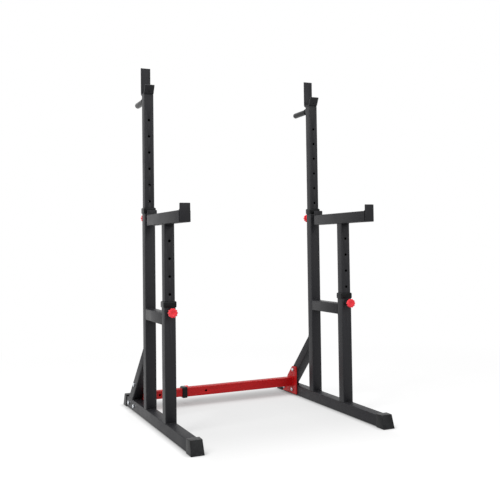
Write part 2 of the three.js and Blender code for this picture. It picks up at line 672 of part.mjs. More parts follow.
function rearPostPieces(side) {
  const y = REAR_POST_Y;
  const base = REAR_POST_TOP - REAR_POST_LENGTH;
  const tube = post(REAR_POST_LENGTH, REAR_HOLE_DEPTH, REAR_HOLE_COUNT);
  const pegPlace = [0, y + POST_HALF + FIT_GAP, REAR_POST_TOP - PEG_DROP];
  return [
    piece(`${side}_rear_post`, tube, BLACK_POWDER_COAT, [0, y, base]),
    piece(`${side}_bar_cradle`, barCradle(), BLACK_POWDER_COAT, [0, y, REAR_POST_TOP + FIT_GAP]),
    piece(`${side}_storage_peg`, storagePeg(), BLACK_PLASTIC, pegPlace),
  ];
}

function frontPostPieces(side) {
  const y = FRONT_POST_Y;
  const base = FRONT_POST_TOP - FRONT_POST_LENGTH;
  const tube = post(FRONT_POST_LENGTH, FRONT_HOLE_DEPTH, FRONT_HOLE_COUNT);
  const armUnder = FRONT_POST_TOP + FIT_GAP;
  const armRear = y + ARM_REAR_OVERHANG;
  const frontPlate = [0, armRear - ARM_LENGTH - FIT_GAP - ARM_PLATE_THICKNESS, armUnder];
  const rearPlate = [0, armRear + FIT_GAP, armUnder];
  return [
    piece(`${side}_front_post`, tube, BLACK_POWDER_COAT, [0, y, base]),
    piece(`${side}_dip_arm`, armTube(), BLACK_POWDER_COAT, [0, armRear, armUnder + FRAME_HALF]),
    piece(`${side}_arm_front_plate`, armPlate(ARM_FRONT_PLATE_HEIGHT), BLACK_POWDER_COAT, frontPlate),
    piece(`${side}_arm_rear_plate`, armPlate(ARM_REAR_PLATE_HEIGHT), BLACK_POWDER_COAT, rearPlate),
  ];
}

function lockPieces(side) {
  const rearPlace = [0, REAR_POST_Y, REAR_MOUTH - PIN_BELOW_MOUTH];
  const frontPlace = [0, FRONT_POST_Y, FRONT_MOUTH - PIN_BELOW_MOUTH];
  return [
    piece(`${side}_rear_pin`, pinRod(), ZINC_PLATE, rearPlace),
    piece(`${side}_rear_knob`, knob(), RED_PLASTIC, rearPlace),
    piece(`${side}_front_pin`, pinRod(), ZINC_PLATE, frontPlace, Math.PI),
    piece(`${side}_front_knob`, knob(), RED_PLASTIC, frontPlace, Math.PI),
  ];
}

// The inward direction is 1 for the left frame and -1 for the right one.
function gussetPieces(side, inward) {
  const rear = REAR_POST_Y;
  const spot = braceBoltPlace();
  const places = {
    front_foot: [rear + FRONT_BOLT_SETBACK, FOOT_BOLT_HEIGHT],
    rear_foot: [rear + REAR_BOLT_SETBACK, FOOT_BOLT_HEIGHT],
    brace: [rear + FRAME_HALF + spot.y, FOOT_TOP + spot.z],
  };
  const turn = inward > 0 ? 0 : Math.PI;
  const headX = -inward * (FRAME_HALF + FIT_GAP);
  const nutX = inward * (FRAME_HALF + GUSSET_THICKNESS + 2 * FIT_GAP);
  const fasteners = Object.entries(places).flatMap(([spotName, [y, z]]) => [
    piece(`${side}_${spotName}_bolt`, bolt(), ZINC_PLATE, [headX, y, z], turn),
    piece(`${side}_${spotName}_nut`, nut(), ZINC_PLATE, [nutX, y, z], turn),
  ]);
  return [
    piece(`${side}_gusset_plate`, gussetPlate(), RED_POWDER_COAT, [inward * GUSSET_X, rear, 0]),
    ...fasteners,
  ];
}

function standFrame(side, inward) {
  const frame = new THREE.Group();
  frame.name = `${side}_frame`;
  frame.position.x = (-inward * STAND_SPACING) / 2;
  frame.add(
    ...footPieces(side),
    ...framePieces(side),
    ...rearPostPieces(side),
    ...frontPostPieces(side),
    ...lockPieces(side),
    ...gussetPieces(side, inward),
  );
  return frame;
}

function crossbar() {
  const bar = new THREE.Group();
  bar.name = 'crossbar';
  bar.position.set(0, CROSSBAR_Y, CROSSBAR_HEIGHT);
  const mouthX = CROSSBAR_END_X - CROSSBAR_OUTER_LENGTH;
  const pinPlace = [mouthX + CROSSBAR_PIN_PLACE, (CROSSBAR_TUBE - FRAME_TUBE) / 2, 0];
  const collar = mouthCollar(
    CROSSBAR_TUBE,
    CROSSBAR_INNER_TUBE,
    CROSSBAR_COLLAR_PROUD,
    CROSSBAR_COLLAR_LENGTH,
    CROSSBAR_COLLAR_LID,
  );
  bar.add(
    piece('crossbar_outer_tube', crossbarOuterTube(), RED_POWDER_COAT, [CROSSBAR_END_X, 0, 0]),
    piece('crossbar_inner_tube', crossbarInnerTube(), RED_POWDER_COAT, [-CROSSBAR_END_X, 0, 0]),
    piece('crossbar_collar', collar.rotateY(-Math.PI / 2), BLACK_PLASTIC, [mouthX, 0, 0]),
    piece('crossbar_pin', pinRod(), ZINC_PLATE, pinPlace),
    piece('crossbar_knob', knob(), RED_PLASTIC, pinPlace),
  );
  return bar;
}

const squatStand = new THREE.Group();
squatStand.name = 'squat_stand';
squatStand.add(standFrame('left', 1), standFrame('right', -1), crossbar());

export default squatStand;
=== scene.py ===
# %% [markdown]
# # A squat stand with dip arms
# The real stand is welded from 50 mm square steel tube, powder coated in black, with a red crossbar.
# Its posts slide in sleeves and are held by pins with red knobs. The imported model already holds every
# piece at its real size, so this lesson builds a finer mesh over each one and gives it a real finish.
# Everything is in metres: x runs across the stand, y from its front to its rear, z up.

import math

import bmesh
import bpy
from mathutils import Matrix, Vector


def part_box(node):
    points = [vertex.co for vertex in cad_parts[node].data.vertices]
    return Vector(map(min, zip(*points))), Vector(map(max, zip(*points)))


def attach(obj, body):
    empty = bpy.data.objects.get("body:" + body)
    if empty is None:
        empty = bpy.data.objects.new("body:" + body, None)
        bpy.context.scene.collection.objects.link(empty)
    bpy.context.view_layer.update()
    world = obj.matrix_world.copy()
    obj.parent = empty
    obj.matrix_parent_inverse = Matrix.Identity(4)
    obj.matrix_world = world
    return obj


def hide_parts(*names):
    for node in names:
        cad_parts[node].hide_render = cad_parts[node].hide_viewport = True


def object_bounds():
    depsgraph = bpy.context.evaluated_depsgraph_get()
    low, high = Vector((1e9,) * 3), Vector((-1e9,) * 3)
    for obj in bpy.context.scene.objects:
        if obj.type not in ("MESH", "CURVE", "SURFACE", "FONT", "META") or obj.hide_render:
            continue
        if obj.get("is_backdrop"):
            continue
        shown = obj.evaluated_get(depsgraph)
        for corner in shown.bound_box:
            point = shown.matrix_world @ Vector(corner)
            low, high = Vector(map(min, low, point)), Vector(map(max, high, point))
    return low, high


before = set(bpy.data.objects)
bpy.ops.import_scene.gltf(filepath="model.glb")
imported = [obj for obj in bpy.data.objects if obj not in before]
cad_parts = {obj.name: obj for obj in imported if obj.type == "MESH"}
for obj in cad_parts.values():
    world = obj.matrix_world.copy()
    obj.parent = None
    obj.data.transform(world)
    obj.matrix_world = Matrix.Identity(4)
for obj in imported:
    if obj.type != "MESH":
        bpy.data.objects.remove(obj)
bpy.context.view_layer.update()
MM = 0.001

# %% [markdown]
# ## One helper for every node
# A material is a small graph. Each of its nodes is added by one call, which takes the node's settings
# and, for every input, either a value or the output of another node. Colours are written as sRGB hex
# values, as a paint chart gives them, and one function turns them to the linear values Blender needs.


# %% Colours and nodes
def linear(colour):
    """Turns an sRGB hex colour to linear red, green, blue and alpha, by the sRGB standard's own numbers."""
    channels = [int(colour[place:place + 2], 16) / 255 for place in (1, 3, 5)]
    return (*[c / 12.92 if c <= 0.04045 else ((c + 0.055) / 1.055) ** 2.4 for c in channels], 1)


def add_node(tree, kind, inputs=None, stops=(), **settings):
    """Adds a node with its settings, its inputs and, on a colour ramp, its stops."""
    node = tree.nodes.new(kind)
    for name, value in settings.items():
        setattr(node, name, value)
    for name, value in (inputs or {}).items():
        if isinstance(value, bpy.types.NodeSocket):
            tree.links.new(value, node.inputs[name])
        else:
            node.inputs[name].default_value = value
    for stop, (position, colour) in zip(node.color_ramp.elements if stops else (), stops):
        stop.position, stop.color = position, linear(colour)
    return node


def new_finish(name):
    """Starts an empty material and returns it with its node tree."""
    finish = bpy.data.materials.new(name)
    finish.use_nodes = True
    finish.node_tree.nodes.clear()
    return finish, finish.node_tree


def close_finish(tree, shader):
    """Leads a shader to the material's output."""
    add_node(tree, "ShaderNodeOutputMaterial", {"Surface": shader})


print("the hex colour #808080 reflects", round(linear("#808080")[0], 2), "of the light")

# %% [markdown]
# ## Powder coat
# Powder coat is a thermoset paint, sprayed dry and baked. The powder melts but never levels fully, so
# the eye sees a fine grain, a soft broad waviness and a satin sheen that varies a little. One flat colour
# would look like film, so two noise textures make it: one at grain size for the bump, one at hand size
# for the sheen, and both together for the tone. The grain on the real tube is about 0.5 mm and is drawn
# at 1.6 mm, so that a close view can show it. A noise's values lie mostly between 0.3 and 0.7, which
# FROM_NOISE spreads over the whole range. Resin has an IOR of 1.5, but the grained skin reflects less
# than a clear film would, so the specular level is lowered.

# %% Powder coat
COAT_WAVES = 120 * MM
COAT_GRAIN = 1.6 * MM
COAT_RELIEF = 0.35
COAT_REFLECTANCE = 0.25
RESIN_IOR = 1.5
FROM_NOISE = {"From Min": 0.3, "From Max": 0.7}
FINISHES = {}


def powder_coat(name, deep, pale, grain_height, sheen):
    """A satin baked coat between two tones. Its sheen is a pair of roughness limits."""
    finish, tree = new_finish(name)
    place = add_node(tree, "ShaderNodeTexCoord").outputs["Object"]
    cloud = add_node(tree, "ShaderNodeTexNoise", {
        "Vector": place, "Scale": 1 / COAT_WAVES, "Detail": 3.0, "Roughness": 0.55})
    speck = add_node(tree, "ShaderNodeTexNoise", {
        "Vector": place, "Scale": 1 / COAT_GRAIN, "Detail": 2.0, "Roughness": 0.6})
    mixed = add_node(tree, "ShaderNodeMath", {0: cloud.outputs["Fac"], 1: speck.outputs["Fac"]},
                     operation="ADD")
    halved = add_node(tree, "ShaderNodeMath", {0: mixed.outputs[0], 1: 0.5}, operation="MULTIPLY")
    tone = add_node(tree, "ShaderNodeValToRGB", {"Fac": halved.outputs[0]}, [(0.3, deep), (0.7, pale)])
    gloss = add_node(tree, "ShaderNodeMapRange", {
        "Value": cloud.outputs["Fac"], **FROM_NOISE, "To Min": sheen[0], "To Max": sheen[1]})
    bump = add_node(tree, "ShaderNodeBump", {
        "Height": speck.outputs["Fac"], "Strength": COAT_RELIEF, "Distance": grain_height})
    shader = add_node(tree, "ShaderNodeBsdfPrincipled", {
        "Base Color": tone.outputs["Color"], "Roughness": gloss.outputs["Result"],
        "Normal": bump.outputs["Normal"], "IOR": RESIN_IOR, "Specular IOR Level": COAT_REFLECTANCE})
    close_finish(tree, shader.outputs["BSDF"])
    return finish


FINISHES["black_powder_coat"] = powder_coat("black_powder_coat", "#18181a", "#202024",
                                            0.25 * MM, (0.42, 0.54))
FINISHES["red_powder_coat"] = powder_coat("red_powder_coat", "#a8090d", "#b80f13",
                                          0.2 * MM, (0.42, 0.52))
print("coats:", ", ".join(FINISHES))

# %% [markdown]
# ## Moulded plastic and rubber
# The collars, pegs and knobs are injection moulded. The mould's walls are spark eroded, which leaves a
# fine even stipple, and the shot's flow leaves faint cloudy bands. Noise could draw the stipple too, but
# it has lumps of all sizes, where Voronoi cells are all alike. Rubber is duller, and has a coarser grain.
# The real stipple is about 0.1 mm wide and is drawn at 1.5 mm, so that it shows.

# %% Moulded plastic and rubber
FLOW_BANDS = 25 * MM
FLOW_SWIRL = 1.2
STIPPLE_RELIEF = 0.3
POLYMER_IOR = 1.49


def moulded(name, deep, pale, stipple, stipple_height, sheen, reflectance):
    """A moulded surface with a stippled skin and slow changes of tone."""
    finish, tree = new_finish(name)
    place = add_node(tree, "ShaderNodeTexCoord").outputs["Object"]
    flow = add_node(tree, "ShaderNodeTexNoise", {
        "Vector": place, "Scale": 1 / FLOW_BANDS, "Detail": 4.0, "Distortion": FLOW_SWIRL})
    pits = add_node(tree, "ShaderNodeTexVoronoi", {"Vector": place, "Scale": 1 / stipple})
    tone = add_node(tree, "ShaderNodeValToRGB", {"Fac": flow.outputs["Fac"]}, [(0.35, deep), (0.65, pale)])
    gloss = add_node(tree, "ShaderNodeMapRange", {
        "Value": flow.outputs["Fac"], **FROM_NOISE, "To Min": sheen[0], "To Max": sheen[1]})
    bump = add_node(tree, "ShaderNodeBump", {
        "Height": pits.outputs["Distance"], "Strength": STIPPLE_RELIEF, "Distance": stipple_height})
    shader = add_node(tree, "ShaderNodeBsdfPrincipled", {
        "Base Color": tone.outputs["Color"], "Roughness": gloss.outputs["Result"],
        "Normal": bump.outputs["Normal"], "IOR": POLYMER_IOR, "Specular IOR Level": reflectance})
    close_finish(tree, shader.outputs["BSDF"])
    return finish


FINISHES["black_plastic"] = moulded("black_moulded_plastic", "#121314", "#1a1b1c",
                                    1.5 * MM, 0.15 * MM, (0.26, 0.36), 0.12)
FINISHES["red_plastic"] = moulded("red_moulded_plastic", "#f6323d", "#fc424d",
                                  1.5 * MM, 0.1 * MM, (0.28, 0.4), 0.3)
FINISHES["black_rubber"] = moulded("black_moulded_rubber", "#161617", "#202122",
                                   1.8 * MM, 0.3 * MM, (0.34, 0.46), 0.14)
print("with the mouldings:", ", ".join(FINISHES))

# %% [markdown]
# ## Zinc plate
# Bolts, nuts and pins are steel with a few microns of bright zinc. Zinc is a blue-white metal, and the
# barrel in which small parts are plated leaves fine scuffs in every direction, so the roughness changes
# from spot to spot. One noise, squeezed along z, drives the tone, the roughness and the bump together,
# because a scuff changes all three. The scuffs are about 3 mm long and under 1 mm high.

# %% Zinc plate
SCUFF = 3 * MM
SCUFF_SQUEEZE = (1.0, 1.0, 4.0)
SCUFF_RELIEF = 0.2
SCUFF_DEPTH = 0.05 * MM
ZINC_SHEEN = (0.22, 0.42)


def zinc_plate(name):
    """Bright, slightly scuffed zinc on steel."""
    finish, tree = new_finish(name)
    place = add_node(tree, "ShaderNodeTexCoord").outputs["Object"]
    squeezed = add_node(tree, "ShaderNodeMapping", {"Vector": place, "Scale": SCUFF_SQUEEZE})
    scuffs = add_node(tree, "ShaderNodeTexNoise", {
        "Vector": squeezed.outputs["Vector"], "Scale": 1 / SCUFF, "Detail": 5.0})
    tone = add_node(tree, "ShaderNodeValToRGB", {"Fac": scuffs.outputs["Fac"]},
                    [(0.3, "#c3c8cf"), (0.7, "#dfe1e3")])
    gloss = add_node(tree, "ShaderNodeMapRange", {
        "Value": scuffs.outputs["Fac"], **FROM_NOISE, "To Min": ZINC_SHEEN[0], "To Max": ZINC_SHEEN[1]})
    bump = add_node(tree, "ShaderNodeBump", {
        "Height": scuffs.outputs["Fac"], "Strength": SCUFF_RELIEF, "Distance": SCUFF_DEPTH})
    shader = add_node(tree, "ShaderNodeBsdfPrincipled", {
        "Base Color": tone.outputs["Color"], "Roughness": gloss.outputs["Result"],
        "Normal": bump.outputs["Normal"], "Metallic": 1.0})
    close_finish(tree, shader.outputs["BSDF"])
    return finish


FINISHES["zinc_plate"] = zinc_plate("bright_zinc_plate")
print("with the metal:", ", ".join(FINISHES))

# %% [markdown]
# ## Mill scale
# Powder hardly reaches the inside of a tube, so the wall there stays as the rolling mill left it: a thin
# blue-black oxide, dull and patchy, with a touch of brown. The eye meets it only as the dark inside of
# the pin holes, so one rough noise is enough for the patches. They are a thumb's width, 18 mm.

# %% Mill scale
SCALE_PATCH = 18 * MM
SCALE_RELIEF = 0.3
SCALE_DEPTH = 0.1 * MM
SCALE_SHEEN = (0.6, 0.85)
SCALE_REFLECTANCE = 0.2
OXIDE_IOR = 1.5


def mill_scale(name):
    """The dark, patchy oxide on hot rolled steel."""
    finish, tree = new_finish(name)
    place = add_node(tree, "ShaderNodeTexCoord").outputs["Object"]
    patches = add_node(tree, "ShaderNodeTexNoise", {
        "Vector": place, "Scale": 1 / SCALE_PATCH, "Detail": 6.0, "Roughness": 0.7})
    tone = add_node(tree, "ShaderNodeValToRGB", {"Fac": patches.outputs["Fac"]},
                    [(0.35, "#0b0c0e"), (0.75, "#17130f")])
    gloss = add_node(tree, "ShaderNodeMapRange", {
        "Value": patches.outputs["Fac"], **FROM_NOISE, "To Min": SCALE_SHEEN[0], "To Max": SCALE_SHEEN[1]})
    bump = add_node(tree, "ShaderNodeBump", {
        "Height": patches.outputs["Fac"], "Strength": SCALE_RELIEF, "Distance": SCALE_DEPTH})
    shader = add_node(tree, "ShaderNodeBsdfPrincipled", {
        "Base Color": tone.outputs["Color"], "Roughness": gloss.outputs["Result"],
        "Normal": bump.outputs["Normal"], "IOR": OXIDE_IOR, "Specular IOR Level": SCALE_REFLECTANCE})
    close_finish(tree, shader.outputs["BSDF"])
    return finish


BARE_INSIDE = mill_scale("mill_scale_steel")
print("made", BARE_INSIDE.name, "for the inside of the tubes")

# %% [markdown]
# ## Picking and shaping
# Mesh operators act on what is selected, and loading a model leaves all of it selected, so every step
# deselects first. By hand the next pick is a click. In a script it is a test: edit mode is opened with
# only those corners, edges or faces selected that pass it.

# %% Selecting


def only(piece):
    """Selects one object alone and makes it the active one."""
    bpy.ops.object.select_all(action="DESELECT")
    piece.select_set(True)
    bpy.context.view_layer.objects.active = piece


def pick(piece, kind, wanted):
    """Opens a piece in edit mode with only the parts that pass a test selected."""
    only(piece)
    bpy.ops.object.mode_set(mode="EDIT")
    bpy.ops.mesh.select_mode(type=kind)
    bpy.ops.mesh.select_all(action="DESELECT")
    live = bmesh.from_edit_mesh(piece.data)
    live.normal_update()
    for part in {"VERT": live.verts, "EDGE": live.edges, "FACE": live.faces}[kind]:
        if wanted(part):
            part.select_set(True)
    live.select_flush_mode()
    bmesh.update_edit_mesh(piece.data)


def to_object_mode():
    """Leaves edit mode."""
    bpy.ops.object.mode_set(mode="OBJECT")


print(len(bpy.context.selected_objects), "plain nodes came in selected")

# %% [markdown]
# ## Cutting, joining and softening
# A hole is cut with a Boolean modifier and a tool shape, since an operator like the knife needs a mouse.
# Every edge on the real stand is a little round, from rolling, moulding or paint, and the light catches
# on it. A Bevel modifier rounds all sharp edges at once, where bevelling by hand would take many clicks.
# MERGE is the distance under which two corners are one. SHARP and SMOOTH_BELOW are angles between two
# faces, in degrees.

# %% Applying modifiers
MERGE = 0.01 * MM
SHARP = 40
ROUND_STEPS = 4
SMOOTH_BELOW = 35
PAINT_EDGE = 0.5 * MM


def apply_modifier(piece, kind, **settings):
    """Adds a modifier with its settings and applies it."""
    only(piece)
    modifier = piece.modifiers.new(kind, kind)
    for name, value in settings.items():
        setattr(modifier, name, value)
    bpy.ops.object.modifier_apply(modifier=modifier.name)


def cut(piece, tool):
    """Takes a closed tool shape out of a piece and deletes the tool."""
    apply_modifier(piece, "BOOLEAN", operation="DIFFERENCE", object=tool, solver="EXACT")
    bpy.data.objects.remove(tool)


def joined(pieces):
    """Joins several pieces to one without cutting them."""
    only(pieces[0])
    for other in pieces:
        other.select_set(True)
    bpy.ops.object.join()
    return pieces[0]


def recalculated(piece):
    """Merges doubled corners and turns all faces outwards."""
    pick(piece, "FACE", lambda face: True)
    bpy.ops.mesh.remove_doubles(threshold=MERGE)
    bpy.ops.mesh.normals_make_consistent(inside=False)
    to_object_mode()
    return piece


def smoothed(piece, below=SMOOTH_BELOW):
    """Shades a piece smooth over all edges that are blunter than an angle in degrees."""
    only(piece)
    bpy.ops.object.shade_smooth_by_angle(angle=math.radians(below))
    return piece


def softened(piece, width, segments=2, sharper_than=SHARP):
    """Rounds all edges that are sharper than an angle, as rolling, moulding or paint does."""
    apply_modifier(piece, "BEVEL", width=width, segments=segments, limit_method="ANGLE",
                   angle_limit=math.radians(sharper_than))
    return smoothed(piece)


print("painted edges are rounded by", PAINT_EDGE / MM, "mm")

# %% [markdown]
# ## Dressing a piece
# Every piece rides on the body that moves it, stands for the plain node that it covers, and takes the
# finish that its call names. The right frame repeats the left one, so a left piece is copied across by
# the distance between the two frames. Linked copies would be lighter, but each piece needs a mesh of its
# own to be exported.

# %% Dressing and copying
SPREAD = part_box("right_foot_tube")[0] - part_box("left_foot_tube")[0]


def dress(piece, name, body, finish, *nodes):
    """Names a finished piece and gives it its finish, its body and the nodes it stands for."""
    piece.name = name
    piece.data.name = name
    if piece.data.materials:
        piece.data.materials[0] = FINISHES[finish]
    else:
        piece.data.materials.append(FINISHES[finish])
    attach(piece, body)
    if nodes:
        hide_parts(*nodes)


def duplicate(piece, matrix):
    """A copy of a piece with its own mesh, moved by a matrix."""
    only(piece)
    bpy.ops.object.duplicate(linked=False)
    twin = bpy.context.object
    twin.data.transform(matrix)
    return twin


def dress_both(piece, name, body, finish, *nodes):
    """Dresses a left piece and the right frame's copy of it."""
    twin = duplicate(piece, Matrix.Translation(SPREAD))
    dress(piece, "left_" + name, "left_" + body, finish, *["left_" + node for node in nodes])
    dress(twin, "right_" + name, "right_" + body, finish, *["right_" + node for node in nodes])


print("the right frame stands", round(SPREAD.x / MM), "mm from the left one")

# %% [markdown]
# ## Rolled square tube
# Square tube is rolled from strip, so its corners are round outside and in, and its sawn ends lose their
# burr. It could be an outline that is extruded along a line. The way by hand is shorter: a cube is
# stretched to the tube's box, its long edges are bevelled, its end faces are deleted, and a Solidify
# modifier gives the wall, whose inner side keeps its mill scale. A last bevel breaks the ends' edges.

# %% Square tubes
CORNER_SEGMENTS = 5
LONG = 0.9


def block(low, high):
    """A cube stretched to fill a box, with its place in its mesh."""
    bpy.ops.mesh.primitive_cube_add(size=1, location=(low + high) / 2)
    made = bpy.context.object
    only(made)
    made.scale = high - low
    bpy.ops.object.transform_apply(location=True, rotation=True, scale=True)
    return made


def runs_along(edge, axis):
    """Whether an edge runs along x, y or z, given as 0, 1 or 2."""
    line = edge.verts[1].co - edge.verts[0].co
    return abs(line[axis]) > LONG * line.length


def rounded_bar(low, high, axis, corner):
    """A block whose four long edges are rounded."""
    bar = block(low, high)
    pick(bar, "EDGE", lambda edge: runs_along(edge, axis))
    bpy.ops.mesh.bevel(offset=corner, segments=CORNER_SEGMENTS, affect="EDGES")
    to_object_mode()
    return bar


def square_tube(low, high, axis, corner, wall):
    """A tube that is open at both ends, from a rounded bar without its end faces."""
    tube = rounded_bar(low, high, axis, corner)
    pick(tube, "FACE", lambda face: abs(face.normal[axis]) > LONG)
    bpy.ops.mesh.delete(type="ONLY_FACE")
    to_object_mode()
    tube.data.materials.append(None)
    tube.data.materials.append(BARE_INSIDE)
    apply_modifier(tube, "SOLIDIFY", thickness=wall, offset=-1, use_even_offset=True, material_offset=1)
    return tube


print("a tube's corner has", CORNER_SEGMENTS, "faces")

# %% [markdown]
# ## Rods
# Pins, bosses and knobs are turned from round bar, and a drill leaves a round hole. A cylinder serves for
# both. Its number of sides sets how round it looks: 48 for what is seen from near, 32 for small parts.

# %% Rods
ROD_SIDES = 48
SMALL_ROD_SIDES = 32


def rod(centre, axis, diameter, length, sides=ROD_SIDES):
    """A cylinder along x, y or z, given as 0, 1 or 2."""
    turns = {0: (0, math.radians(90), 0), 1: (math.radians(90), 0, 0), 2: (0, 0, 0)}
    bpy.ops.mesh.primitive_cylinder_add(
        vertices=sides, radius=diameter / 2, depth=length, location=centre, rotation=turns[axis])
    made = bpy.context.object
    only(made)
    bpy.ops.object.transform_apply(location=True, rotation=True, scale=True)
    return made


print("a 10 mm rod's sides are", round(10 * math.pi / ROD_SIDES, 2), "mm wide")

# %% [markdown]
# ## Base rails and tie rails
# Each side frame stands on one long tube, and a short one ties its two uprights together. Both are plain
# lengths of the same 50 mm tube, so the tube function makes them in the boxes of their nodes, and each is
# a few faces, where a sweep along a path would need an outline and a curve.

# %% Base rails and tie rails
FRAME_TUBE = 50 * MM
FRAME_WALL = 2 * MM
FRAME_CORNER = 4 * MM

for node, name in (("foot_tube", "base_rail"), ("tie_tube", "tie_rail")):
    low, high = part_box("left_" + node)
    rail = softened(square_tube(low, high, 1, FRAME_CORNER, FRAME_WALL), PAINT_EDGE)
    dress_both(rail, name, "frame", "black_powder_coat", node)
    print(name, "is", round((high.y - low.y) / MM), "mm long with", len(rail.data.polygons), "faces")

# %% [markdown]
# ## Uprights
# Each upright is a sleeve with a short turned boss welded on where the pin enters. The tube's share of
# the node's box is the tube's width, and what stands out beyond it is the boss. The boss is a piece of
# its own, as on the real stand, because one mesh of both would need a clean joint under the weld.

# %% Uprights and their bosses
PIN_DIAMETER = 10 * MM
BORE_CLEARANCE = 0.6 * MM
BOSS_DIAMETER = 24 * MM
BOSS_EDGE = 1 * MM
BOSS_STEPS = 3
OVERRUN = 5 * MM


def upright(which, side):
    """Makes the rear or front sleeves. The side is 1 if the pin enters from +y and -1 from -y."""
    low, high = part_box(f"left_{which}_sleeve")
    pin_low, pin_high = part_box(f"left_{which}_pin")
    pin_middle = (pin_low + pin_high) / 2
    boss_end = high.y if side > 0 else low.y
    tube_face = boss_end - side * (high.y - low.y - FRAME_TUBE)
    far_face = tube_face - side * FRAME_TUBE
    tube_low = Vector((low.x, min(tube_face, far_face), low.z))
    tube_high = Vector((high.x, max(tube_face, far_face), high.z))
    tube = square_tube(tube_low, tube_high, 2, FRAME_CORNER, FRAME_WALL)
    bore = PIN_DIAMETER + BORE_CLEARANCE
    mouth = Vector((pin_middle.x, tube_face, pin_middle.z))
    cut(tube, rod(mouth, 1, bore, 2 * OVERRUN + FRAME_WALL))
    dress_both(softened(tube, PAINT_EDGE), f"{which}_upright", "frame", "black_powder_coat",
               f"{which}_sleeve")
    boss_length = abs(boss_end - tube_face) + FRAME_WALL / 2
    centre = Vector((pin_middle.x, boss_end - side * boss_length / 2, pin_middle.z))
    boss = rod(centre, 1, BOSS_DIAMETER, boss_length)
    cut(boss, rod(centre, 1, bore, boss_length + 2 * OVERRUN))
    dress_both(softened(boss, BOSS_EDGE, BOSS_STEPS), f"{which}_pin_boss", "frame", "black_powder_coat")
    print(which, "upright is", round((high.z - low.z) / MM), "mm high and its boss",
          round(boss_length / MM), "mm long")


upright("rear", 1)
upright("front", -1)

# %% [markdown]
# ## Diagonal stay
# The stay is a tube sawn off at a slant at both ends, where it is welded shut, so nobody sees its bore and
# a solid bar stands in for it. It is made upright and longer than needed, leaned over, and bisected by two
# planes: the face of the upright and the top of the base rail. Moving the corners of a short bar could
# give the same ends, but the cut keeps the rounded corners true.

# %% Diagonal stays
low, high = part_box("left_brace")
run = high.y - low.y
rise = high.z - low.z
tilt = math.atan2(run, rise)
slant = math.hypot(run, rise)
stay = rounded_bar(Vector((-FRAME_TUBE / 2, -FRAME_TUBE, -FRAME_TUBE)),
                   Vector((FRAME_TUBE / 2, 0, slant + FRAME_TUBE)), 2, FRAME_CORNER)
stay.data.transform(Matrix.Translation(((low.x + high.x) / 2, high.y, low.z)) @ Matrix.Rotation(tilt, 4, "X"))
for outward in ((0, -1, 0), (0, 0, -1)):
    pick(stay, "FACE", lambda face: True)
    bpy.ops.mesh.bisect(plane_co=low, plane_no=outward, use_fill=True, clear_outer=True)
    to_object_mode()
dress_both(softened(recalculated(stay), PAINT_EDGE), "diagonal_stay", "frame", "black_powder_coat", "brace")
print("the stay leans", round(math.degrees(tilt)), "degrees and is", round(slant / MM), "mm long")

# %% [markdown]
# ## Sliding posts
# A post is a smaller tube with a row of punched pin holes through its front and rear walls. The holes are
# as far apart as the heights that the post can be set to. Cut one by one, each would leave slivers beside
# the last, so all the rods are joined to one tool, which cuts once.

# %% Sliding posts
POST_CORNER = 3 * MM
POST_WALL = 2 * MM
PIN_HOLE = 12 * MM
HOLE_SPACING = 77 * MM


def sliding_post(node, name, body, top_hole, holes):
    """A post with a row of holes, the first of which is a distance below its top."""
    low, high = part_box("left_" + node)
    tube = square_tube(low, high, 2, POST_CORNER, POST_WALL)
    centre = (low + high) / 2
    heights = [high.z - top_hole - number * HOLE_SPACING for number in range(holes)]
    cut(tube, joined([rod(Vector((centre.x, centre.y, height)), 1, PIN_HOLE, high.y - low.y + 2 * OVERRUN)
                      for height in heights]))
    dress_both(softened(tube, PAINT_EDGE), name, body, "black_powder_coat", node)
    print(name, "is", round((high.z - low.z) / MM), "mm long with", holes, "holes")


sliding_post("rear_post", "tall_post", "cradle_post", top_hole=122 * MM, holes=8)
sliding_post("front_post", "short_post", "arm_post", top_hole=74 * MM, holes=6)

# %% [markdown]
# ## Stacking rings
# A square moulding with a hole through it has one profile all round. Two nested blocks and a Boolean
# would make it with sharp steps only. Here a ring of edges is drawn once and extruded from level to
# level, scaled at each, and the last ring is bridged to the first, so any profile can be followed.

# %% Ring stacking


def stacked_rings(start, profile):
    """Extrudes a flat ring round z along a profile of (half width, height) and closes it on itself."""
    width, height = profile[0]
    previous = width
    for width, level in profile[1:]:
        only(start)
        bpy.ops.object.mode_set(mode="EDIT")
        bpy.ops.mesh.extrude_edges_move(TRANSFORM_OT_translate={"value": (0, 0, level - height)})
        bpy.ops.transform.resize(value=(width / previous, width / previous, 1), center_override=(0, 0, 0))
        to_object_mode()
        previous, height = width, level
    pick(start, "EDGE", lambda edge: edge.is_boundary)
    bpy.ops.mesh.bridge_edge_loops()
    to_object_mode()
    return recalculated(start)


def square_ring(half, height, corner):
    """A flat ring with rounded corners, without a face."""
    bpy.ops.mesh.primitive_plane_add(size=2 * half, location=(0, 0, 0))
    ring = bpy.context.object
    ring.data.transform(Matrix.Translation((0, 0, height)))
    pick(ring, "VERT", lambda corner: True)
    bpy.ops.mesh.bevel(offset=corner, segments=CORNER_SEGMENTS, affect="VERTICES")
    bpy.ops.mesh.select_all(action="SELECT")
    bpy.ops.mesh.delete(type="ONLY_FACE")
    bpy.ops.mesh.select_all(action="SELECT")
    to_object_mode()
    return ring


print("a ring has", 4 * (CORNER_SEGMENTS + 1), "corners")

# %% [markdown]
# ## Guide collars
# A guide collar is a moulded cap on a sleeve's mouth: a skirt outside the sleeve, a rounded crown, and a
# square hole that the post slides through. Its profile is a list of half widths and heights, read from
# the outside foot of the skirt over the crown to its inside. The crown is a quarter circle in that list,
# because a bevel would round the inner edges as well.

